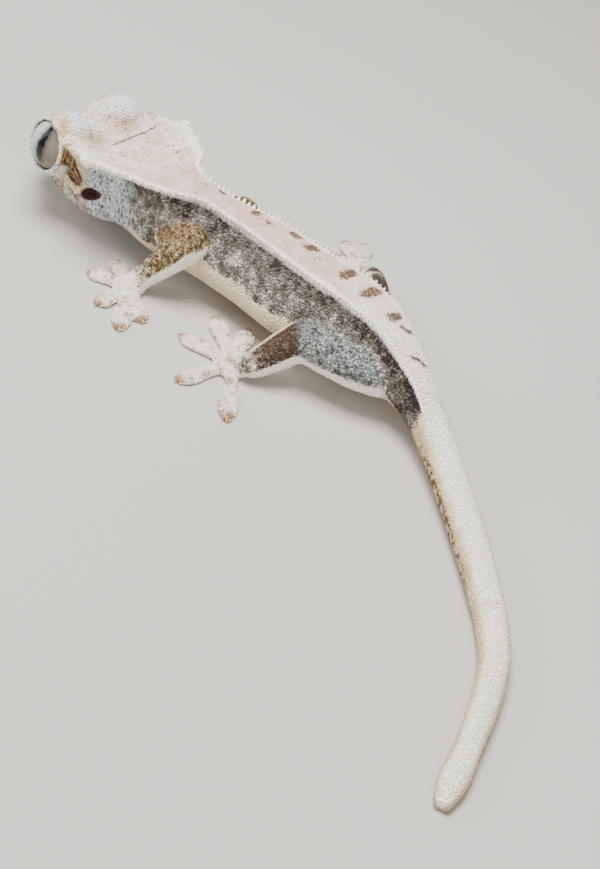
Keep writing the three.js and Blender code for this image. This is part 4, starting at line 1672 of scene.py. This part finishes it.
class Planting:
    """Geometry Nodes that set one small shape on many roots."""

    def __init__(self, name: str) -> None:
        """Starts an empty tree.

        Args:
            name: Name of the tree.
        """
        self.group = bpy.data.node_groups.new(name, "GeometryNodeTree")
        self.group.interface.new_socket("Geometry", in_out="INPUT", socket_type="NodeSocketGeometry")
        self.group.interface.new_socket("Geometry", in_out="OUTPUT", socket_type="NodeSocketGeometry")
        self.sockets: dict[str, str] = {}
        self.start = self.group.nodes.new("NodeGroupInput")
        self.end = self.group.nodes.new("NodeGroupOutput")

    def ask(self, name: str, kind: str = "NodeSocketFloat") -> None:
        """Adds a named input to the tree."""
        made = self.group.interface.new_socket(name, in_out="INPUT", socket_type=kind)
        self.sockets[name] = made.identifier

    def given(self, name: str) -> bpy.types.NodeSocket:
        """The socket of a named input."""
        return self.start.outputs[name]

    def node(self, kind: str, settings: dict, inputs: dict, output: int | str = 0) -> bpy.types.NodeSocket:
        """Adds any node.

        Args:
            kind: Its type.
            settings: Its own settings, set first.
            inputs: Values or links of its sockets, by place or name.
            output: Which of its outputs is wanted.

        Returns:
            The wanted output.
        """
        made = self.group.nodes.new(kind)
        for key, value in settings.items():
            setattr(made, key, value)
        for key, value in inputs.items():
            if isinstance(value, bpy.types.NodeSocket):
                self.group.links.new(value, made.inputs[key])
            else:
                made.inputs[key].default_value = value
        return made.outputs[output]

    def store(
        self, geometry: bpy.types.NodeSocket, name: str, value: bpy.types.NodeSocket, kind: str
    ) -> bpy.types.NodeSocket:
        """Keeps a value at each point of a geometry under a name.

        Args:
            geometry: The geometry.
            name: Name of the value.
            value: The value.
            kind: Its type.

        Returns:
            The geometry with the value.
        """
        settings = {"data_type": kind, "domain": "POINT"}
        inputs = {"Geometry": geometry, "Name": name, "Value": value}
        return self.node("GeometryNodeStoreNamedAttribute", settings, inputs)

    def close(self, planted: bpy.types.NodeSocket) -> None:
        """Ends the tree with real geometry in its finish.

        Args:
            planted: The shapes on their roots.
        """
        real = self.node("GeometryNodeRealizeInstances", {}, {"Geometry": planted})
        inputs = {"Geometry": real, "Material": self.given("Finish")}
        done = self.node("GeometryNodeSetMaterial", {}, inputs)
        self.group.links.new(done, self.end.inputs[0])

    def grow(self, host: bpy.types.Object, name: str, values: dict) -> bpy.types.Object:
        """Runs the tree on a host, which goes once the result is a plain piece.

        Args:
            host: The object whose mesh feeds the tree.
            name: Name of the new piece.
            values: Values of the named inputs.

        Returns:
            The new piece.
        """
        modifier = host.modifiers.new(name, "NODES")
        modifier.node_group = self.group
        for key, value in values.items():
            modifier[self.sockets[key]] = value
        bpy.context.view_layer.update()
        evaluated = host.evaluated_get(bpy.context.evaluated_depsgraph_get())
        mesh = bpy.data.meshes.new_from_object(evaluated)
        host.modifiers.remove(modifier)
        bpy.data.objects.remove(host)
        mesh.name = name
        mesh.shade_smooth()
        piece = bpy.data.objects.new(name, mesh)
        bpy.context.scene.collection.objects.link(piece)
        return piece


# Where the patches of scales meet: along the body, round it and across it
HEAD_END = 9.6
TORSO_END = 38.0
BACK_EDGE = 0.25
MIDDLE = 1.0


@dataclass(frozen=True)
class Patch:
    """A region of the hide whose scales are one piece. height is a share of a scale's radius."""

    name: str
    spacing: float
    height: float
    inside: Callable[[dict[str, np.ndarray], np.ndarray], np.ndarray]


def on_trunk(facts: dict[str, np.ndarray]) -> np.ndarray:
    """Where the skin of the neck and torso is."""
    return (facts["limb"] < 0.5) & (facts["along"] >= HEAD_END) & (facts["along"] < TORSO_END)


def on_flank(facts: dict[str, np.ndarray]) -> np.ndarray:
    """Where the flanks and belly are."""
    return on_trunk(facts) & (facts["around"] >= BACK_EDGE)


def on_back(facts: dict[str, np.ndarray]) -> np.ndarray:
    """Where the back lies between the crests."""
    return on_trunk(facts) & (facts["around"] < BACK_EDGE)


PATCHES = (
    Patch("scales_head", 0.22, 0.14, lambda f, p: (f["limb"] < 0.5) & (f["along"] < HEAD_END)),
    Patch("scales_back", 0.21, 0.3, lambda f, p: on_back(f)),
    Patch("scales_flank_left", 0.2, 0.36, lambda f, p: on_flank(f) & (p[:, 1] > MIDDLE)),
    Patch("scales_flank_right", 0.2, 0.36, lambda f, p: on_flank(f) & (p[:, 1] <= MIDDLE)),
    Patch("scales_tail", 0.2, 0.12, lambda f, p: (f["limb"] < 0.5) & (f["along"] >= TORSO_END)),
    Patch("scales_legs_left", 0.2, 0.32, lambda f, p: (f["limb"] >= 0.5) & (p[:, 1] > MIDDLE)),
    Patch("scales_legs_right", 0.2, 0.32, lambda f, p: (f["limb"] >= 0.5) & (p[:, 1] <= MIDDLE)),
)


@dataclass
class Coat:
    """The scales: low granules set close over the skin, in a few pieces."""

    hide: Hide
    finish: bpy.types.Material
    cover: float = 0.58
    crowding: float = 0.86
    closest: float = 0.11
    least_size: float = 0.85
    size_spread: float = 0.3
    seed: int = 11
    uv_half: float = 0.0015

    def __post_init__(self) -> None:
        """Grows every patch of scales."""
        self.planting = self._tree()
        self.pieces = [self._patch(patch, number) for number, patch in enumerate(PATCHES)]

    def _tree(self) -> Planting:
        """The tree that spreads scales over the skin.

        Returns:
            The finished tree.
        """
        grow = Planting("scales_over_skin")
        for name in ("Spacing", "Radius", "Height"):
            grow.ask(name)
        grow.ask("Seed", "NodeSocketInt")
        grow.ask("Finish", "NodeSocketMaterial")
        spread = grow.group.nodes.new("GeometryNodeDistributePointsOnFaces")
        spread.distribute_method = "POISSON"
        grow.group.links.new(grow.start.outputs["Geometry"], spread.inputs["Mesh"])
        grow.group.links.new(grow.given("Spacing"), spread.inputs["Distance Min"])
        grow.group.links.new(grow.given("Seed"), spread.inputs["Seed"])
        spread.inputs["Density Max"].default_value = 1.0 / (self.closest * MM) ** 2
        inputs = {2: 0.0, 3: 1.0, "Seed": grow.given("Seed")}
        share = grow.node("FunctionNodeRandomValue", {"data_type": "FLOAT"}, inputs, output=1)
        roots = grow.store(spread.outputs["Points"], "tone", share, "FLOAT")
        inputs = {0: share, 1: self.size_spread, 2: self.least_size}
        size = grow.node("ShaderNodeMath", {"operation": "MULTIPLY_ADD"}, inputs)
        ball = grow.node("GeometryNodeMeshIcoSphere", {}, {"Radius": 1.0, "Subdivisions": 1})
        ball = grow.store(ball, "local", grow.node("GeometryNodeInputPosition", {}, {}), "FLOAT_VECTOR")
        radius = grow.given("Radius")
        sizes = grow.node("ShaderNodeCombineXYZ", {}, {0: radius, 1: radius, 2: grow.given("Height")})
        scale = grow.node("GeometryNodeTransform", {}, {"Geometry": ball, "Scale": sizes})
        inputs = {"Points": roots, "Instance": scale, "Rotation": spread.outputs["Rotation"], "Scale": size}
        grow.close(grow.node("GeometryNodeInstanceOnPoints", {}, inputs))
        return grow

    def _patch(self, patch: Patch, number: int) -> bpy.types.Object:
        """Grows one patch of scales and lays it out on the flat plan.

        Args:
            patch: The region and its scales.
            number: Its place in the row of patches, for its own random draws.

        Returns:
            The new piece.
        """
        hide = self.hide
        inside = patch.inside(hide.facts, hide.points)
        faces = hide.faces[inside[hide.faces].sum(1) >= 2]
        used, flat = np.unique(faces, return_inverse=True)
        host = make_mesh("host", hide.frame.place(hide.points[used]), flat.reshape(faces.shape))
        for name, values in hide.facts.items():
            note(host, name, values[used])
        radius = patch.spacing * self.cover * MM
        values = {
            "Spacing": patch.spacing * self.crowding * MM,
            "Radius": radius,
            "Height": radius * patch.height,
            "Seed": self.seed + number,
            "Finish": self.finish,
        }
        piece = self.planting.grow(host, patch.name, values)
        self._lay_out(piece)
        return piece

    def _lay_out(self, piece: bpy.types.Object) -> None:
        """Lays each scale as a small patch at its root's place on the flat plan.

        Args:
            piece: The piece of scales.
        """
        mesh = piece.data
        count = len(mesh.vertices)
        plan = np.zeros((count, 2), np.float32)
        for column, name in enumerate(("plan_u", "plan_v")):
            values = np.zeros(count, np.float32)
            mesh.attributes[name].data.foreach_get("value", values)
            plan[:, column] = values
        local = np.zeros(count * 3, np.float32)
        mesh.attributes["local"].data.foreach_get("vector", local)
        plan += local.reshape(-1, 3)[:, :2] * self.uv_half
        corners = np.zeros(len(mesh.loops), np.int32)
        mesh.loops.foreach_get("vertex_index", corners)
        layer = mesh.uv_layers.new(name="OFBake")
        layer.data.foreach_set("uv", plan[corners].astype(np.float32).ravel())


@dataclass
class Spines:
    """A piece made of many small blunt spines, set on the skin at a row of roots."""

    hide: Hide
    name: str
    finish: bpy.types.Material
    radius: float
    height: float
    taper: float = 0.34
    fullness: float = 0.84
    roots: list[np.ndarray] = field(default_factory=list)
    leans: list[np.ndarray] = field(default_factory=list)
    sizes: list[np.ndarray] = field(default_factory=list)

    def add(self, roots: np.ndarray, leans: np.ndarray, sizes: np.ndarray) -> None:
        """Adds a row of spines.

        Args:
            roots: Where they stand.
            leans: The way that each points.
            sizes: Their sizes, as shares of the piece's radius and height.
        """
        self.roots.append(np.array([self.hide.nearest(root) for root in roots]))
        self.leans.append(leans)
        self.sizes.append(sizes)

    def plant(self) -> bpy.types.Object:
        """Builds the piece.

        Returns:
            The new piece.
        """
        roots = self.hide.frame.place(np.concatenate(self.roots))
        mesh = bpy.data.meshes.new("host")
        mesh.from_pydata(roots.tolist(), [], [])
        host = bpy.data.objects.new("host", mesh)
        bpy.context.scene.collection.objects.link(host)
        note(host, "size", np.concatenate(self.sizes))
        attribute = mesh.attributes.new("lean", "FLOAT_VECTOR", "POINT")
        attribute.data.foreach_set("vector", np.concatenate(self.leans).astype(np.float32).ravel())
        values = {"Radius": self.radius * MM, "Height": self.height * MM, "Finish": self.finish}
        return self._tree().grow(host, self.name, values)

    def _tree(self) -> Planting:
        """The tree that sets a tapered spine on each root.

        Returns:
            The finished tree.
        """
        grow = Planting(self.name + "_rows")
        for key in ("Radius", "Height"):
            grow.ask(key)
        grow.ask("Finish", "NodeSocketMaterial")
        lean = grow.node("GeometryNodeInputNamedAttribute", {"data_type": "FLOAT_VECTOR"}, {"Name": "lean"})
        size = grow.node("GeometryNodeInputNamedAttribute", {"data_type": "FLOAT"}, {"Name": "size"})
        turn = grow.node("FunctionNodeAlignRotationToVector", {"axis": "Z"}, {"Vector": lean})
        ball = grow.node("GeometryNodeMeshIcoSphere", {}, {"Radius": 1.0, "Subdivisions": 2})
        where = grow.node("GeometryNodeInputPosition", {}, {})
        rise = grow.node("ShaderNodeSeparateXYZ", {}, {0: where}, output=2)
        inputs = {0: rise, 1: -self.taper, 2: self.fullness}
        narrow = grow.node("ShaderNodeMath", {"operation": "MULTIPLY_ADD"}, inputs)
        wide = grow.node("ShaderNodeMath", {"operation": "MULTIPLY"}, {0: narrow, 1: grow.given("Radius")})
        factors = grow.node("ShaderNodeCombineXYZ", {}, {0: wide, 1: wide, 2: grow.given("Height")})
        bent = grow.node("ShaderNodeVectorMath", {"operation": "MULTIPLY"}, {0: where, 1: factors})
        shape = grow.node("GeometryNodeSetPosition", {}, {"Geometry": ball, "Position": bent})
        points = grow.start.outputs["Geometry"]
        inputs = {"Points": points, "Instance": shape, "Rotation": turn, "Scale": size}
        grow.close(grow.node("GeometryNodeInstanceOnPoints", {}, inputs))
        return grow


@dataclass
class Crest:
    """The two rows of blunt spines from the head to the hips, and the fringe over each eye."""

    hide: Hide
    spine_finish: bpy.types.Material
    fringe_finish: bpy.types.Material
    step: float = 0.37
    start: float = 0.5
    end: float = 23.5
    size_places: tuple[float, ...] = (0, 3, 9, 16, 20, 23.5)
    sizes: tuple[float, ...] = (1.15, 1.1, 1.0, 0.9, 0.6, 0.4)
    sunk: float = 0.2
    spread: tuple[float, float] = (0.78, 1.18)
    radius: float = 0.19
    height: float = 0.4
    head_length: float = 2.4
    head_sizes: tuple[float, float] = (0.45, 1.15)
    head_sunk: float = 0.18
    fringe_reach: tuple[float, float] = (6.2, 3.2)
    fringe_rise: float = 0.2
    fringe_spread: tuple[float, float] = (0.6, 1.2)
    fringe_step: float = 0.3
    fringe_radius: float = 0.15
    fringe_height: float = 0.58
    seed: int = 7

    def __post_init__(self) -> None:
        """Plants both rows and both fringes."""
        self.random = np.random.default_rng(self.seed)
        spines = Spines(self.hide, "crest_spines", self.spine_finish, self.radius, self.height)
        fringe = Spines(self.hide, "brow_fringe", self.fringe_finish, self.fringe_radius, self.fringe_height)
        for side in Side:
            self._row(spines, side)
            self._fringe(fringe, side)
        self.pieces = [spines.plant(), fringe.plant()]

    def _row(self, spines: Spines, side: Side) -> None:
        """One crest, along the trunk and the rear of the head.

        Args:
            spines: The piece that it goes to.
            side: Left or right.
        """
        trunk, head = self.hide.trunk, self.hide.head
        places = trunk.evenly(self.step, self.start, self.end)
        distance = np.interp(places, np.arange(trunk.last + 1), trunk.reached)
        sizes = np.interp(distance, self.size_places, self.sizes)
        points, leans = trunk.crest(places, side, -self.sunk)
        spines.add(points, leans, sizes * self.random.uniform(*self.spread, len(sizes)))
        places = head.evenly(self.step, head.reached[-1] - self.head_length)
        sizes = np.linspace(*self.head_sizes, len(places))
        points, leans = head.crest(places, side, -self.head_sunk)
        spines.add(points, leans, sizes * self.random.uniform(*self.spread, len(sizes)))

    def _fringe(self, fringe: Spines, side: Side) -> None:
        """The small spines along one brow.

        Args:
            fringe: The piece that they go to.
            side: Left or right.
        """
        head = self.hide.head
        start, end = (head.reached[-1] - reach for reach in self.fringe_reach)
        places = head.evenly(self.fringe_step, start, end)
        points, leans = head.crest(places, side, self.fringe_rise)
        swell = np.sin(np.linspace(0.5, 2.6, len(places)))
        fringe.add(points, leans, swell * self.random.uniform(*self.fringe_spread, len(places)))


@dataclass
class Eyes:
    """Two eyeballs with slit pupils."""

    frame: Frame
    gap: float = 0.02
    bulge: float = 0.03
    bulge_width: float = 0.6
    back: float = -2.0
    up: float = 17.0
    rows: int = 48
    columns: int = 64

    def __post_init__(self) -> None:
        """Builds both eyes."""
        self.pieces = [self._eye(side) for side in Side]

    def _eye(self, side: Side) -> bpy.types.Object:
        """One eyeball, whose clear front bulges a little. Its own +Z looks out and its +Y is up.

        Args:
            side: Left or right.

        Returns:
            The new piece.
        """
        tilt = np.linspace(0, math.pi, self.rows)
        turn = np.linspace(0, math.tau, self.columns, endpoint=False)
        ring = np.stack([np.cos(turn), np.sin(turn), np.zeros(self.columns)], -1)
        local = np.sin(tilt)[:, None, None] * ring + np.cos(tilt)[:, None, None] * np.array([0, 0, 1])
        local *= 1 + self.bulge * np.exp(-((tilt / self.bulge_width) ** 2))[:, None, None]
        back, up = math.radians(self.back), math.radians(self.up)
        outward = Vector((math.sin(back), side.value * math.cos(up), math.sin(up))).normalized()
        across = Vector((0, 0, 1)).cross(outward).normalized()
        way = Matrix((across, outward.cross(across), outward)).transposed()
        centre = np.array(on_side((EYE_X, EYE_SIDE, EYE_Z), side))
        form = form_over(local[1:-1], Tile(0, 0, 1, 1), {})
        points = form.points @ np.array(way.transposed()) * (EYE_RADIUS - self.gap) + centre
        name = f"eyeball_{side.name.lower()}"
        piece = make_mesh(name, self.frame.place(points), form.triangles.astype(int))
        finish = EyeFinish(name, centre, tuple(way.to_euler()), -side.value, self.frame.offset)
        piece.data.materials.append(finish.make())
        return piece


@dataclass
class Claws:
    """A small hooked claw at the tip of each toe, all in one piece."""

    frame: Frame
    finish: bpy.types.Material
    length: float = 0.42
    sunk: float = 0.22
    radius: float = 0.1
    height: float = 0.3
    bend: float = 0.8
    taper: float = 0.88
    above_floor: float = 0.01
    rows: int = 9
    columns: int = 10

    def __post_init__(self) -> None:
        """Builds all claws."""
        points, faces, start = [], [], 0
        for leg in LEGS:
            for tip in leg.tips:
                form = self._claw(np.array([*leg.palm, 0.0]), np.array([*tip, 0.0]))
                points.append(form.points)
                faces.append(form.triangles.astype(int) + start)
                start += len(form.points)
        self.piece = make_mesh("claws", self.frame.place(np.concatenate(points)), np.concatenate(faces))
        self.piece.data.materials.append(self.finish)

    def _claw(self, palm: np.ndarray, tip: np.ndarray) -> Form:
        """One claw, rooted in the toe and bent down to the floor.

        Args:
            palm: Middle of the palm on the floor.
            tip: The toe's tip on the floor.

        Returns:
            The claw's points and triangles.
        """
        ahead = (tip - palm) / np.linalg.norm(tip - palm)
        side = np.array([-ahead[1], ahead[0], 0.0])
        shares = np.linspace(0, 1, self.rows)
        lift = self.height * (1 - self.bend * shares**2)
        middle = tip + ahead * (self.length * shares - self.sunk)[:, None]
        middle[:, 2] = lift
        radius = self.radius * (1 - self.taper * shares)
        angles = np.linspace(0, math.tau, self.columns, endpoint=False)
        ring = np.cos(angles)[:, None] * side + np.sin(angles)[:, None] * np.array([0, 0, 1])
        rings = middle[:, None] + radius[:, None, None] * ring
        rings[..., 2] = rings[..., 2].clip(self.above_floor)
        return form_over(rings, Tile(0, 0, 1, 1), {})


@dataclass(frozen=True)
class Lamp:
    """A square soft light that points at the animal."""

    name: str
    place: Point
    size: float
    power: float


@dataclass
class Studio:
    """A pale floor, soft light and the camera at the photograph's angle."""

    frame: Frame
    aim: Point = (-8.38, 10.5, 3.0)
    camera: Point = (-51.42, 78.75, 70.71)
    roll: float = 15.0
    focal_pixels: float = 1663.2
    image_width: int = 600
    sensor: float = 36.0
    floor_half: float = 2000.0
    paper: Colour = srgb(192, 186, 178)
    paper_pale: Colour = srgb(197, 192, 185)
    paper_grain: float = 40.0
    sky: float = 0.3
    lamps: tuple[Lamp, ...] = (
        Lamp("key", (20.0, 20.0, 170.0), 90.0, 0.62),
        Lamp("fill", (-130.0, 110.0, 80.0), 120.0, 0.12),
        Lamp("front", (120.0, 60.0, 70.0), 90.0, 0.1),
    )

    def __post_init__(self) -> None:
        """Builds the floor, the lights and the camera."""
        self._floor()
        self._lights()
        self._camera()

    def _floor(self) -> None:
        """A wide, plain, pale floor."""
        half = self.floor_half * MM
        corners = np.array([(-half, -half, 0), (half, -half, 0), (half, half, 0), (-half, half, 0)])
        floor = make_mesh("floor", corners, np.array([[0, 1, 2, 3]]))
        tree = Tree("floor_paper", Roughness=0.9)
        cloud = tree.noise(tree.place(self.frame.offset), self.paper_grain)
        colour = tree.mix(cloud, self.paper, self.paper_pale)
        floor.data.materials.append(tree.dress(Base_Color=colour))
        floor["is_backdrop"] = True

    def _lights(self) -> None:
        """One large soft light above, two fills and an even sky."""
        world = bpy.data.worlds.new("sky")
        world.use_nodes = True
        background = world.node_tree.nodes["Background"]
        background.inputs["Color"].default_value = (1.0, 0.98, 0.95, 1.0)
        background.inputs["Strength"].default_value = self.sky
        bpy.context.scene.world = world
        for lamp in self.lamps:
            light = bpy.data.lights.new(lamp.name, "AREA")
            light.size = lamp.size * MM
            light.energy = lamp.power
            held = bpy.data.objects.new(lamp.name, light)
            bpy.context.scene.collection.objects.link(held)
            held.location = Vector(self.frame.place(np.array(lamp.place)))
            aim = Vector(self.frame.place(np.array(self.aim))) - held.location
            held.rotation_euler = aim.to_track_quat("-Z", "Y").to_euler()

    def _camera(self) -> None:
        """The camera at the photograph's viewing angle."""
        lens = bpy.data.cameras.new("camera")
        lens.sensor_fit = "HORIZONTAL"
        lens.sensor_width = self.sensor
        lens.lens = self.focal_pixels / self.image_width * self.sensor
        lens.clip_start = MM
        camera = bpy.data.objects.new("camera", lens)
        bpy.context.scene.collection.objects.link(camera)
        camera.location = Vector(self.frame.place(np.array(self.camera)))
        ahead = Vector(self.frame.place(np.array(self.aim))) - camera.location
        turn = ahead.to_track_quat("-Z", "Y").to_matrix() @ Matrix.Rotation(math.radians(self.roll), 3, "Z")
        camera.rotation_euler = turn.to_euler()
        bpy.context.scene.camera = camera


def finish_piece(piece: bpy.types.Object, replaced: Iterable[str] = ()) -> None:
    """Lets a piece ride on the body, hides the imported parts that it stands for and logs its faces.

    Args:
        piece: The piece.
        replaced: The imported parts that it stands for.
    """
    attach(piece, BODY)
    if replaced:
        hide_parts(*replaced)
    LOG.info("%s: %d faces", piece.name, len(piece.data.polygons))


def main() -> None:
    """Builds the whole model."""
    logging.basicConfig(level=logging.INFO, format="%(message)s")
    frame = Frame()
    Studio(frame)
    hide = Hide(frame, HideFinish("hide", frame.offset, on_scales=False).make())
    flesh = [name for name in frame.packed["nodes"] if not name.startswith("eye")]
    finish_piece(hide.piece, flesh)
    for piece in Coat(hide, HideFinish("scales", frame.offset, on_scales=True).make()).pieces:
        finish_piece(piece)
    cream = PlainFinish("crest_cream", srgb(252, 247, 236), srgb(244, 232, 212), 0.8, 0.5, frame.offset)
    pink = PlainFinish("fringe_pink", srgb(240, 224, 212), srgb(212, 160, 146), 0.3, 0.5, frame.offset)
    for piece in Crest(hide, cream.make(), pink.make()).pieces:
        finish_piece(piece)
    for piece in Eyes(frame).pieces:
        finish_piece(piece, [piece.name.replace("eyeball", "eye")])
    horn = PlainFinish("claw_horn", srgb(206, 184, 150), srgb(150, 116, 84), 0.2, 0.35, frame.offset)
    finish_piece(Claws(frame, horn.make()).piece)


if __name__ == "__main__":
    main()
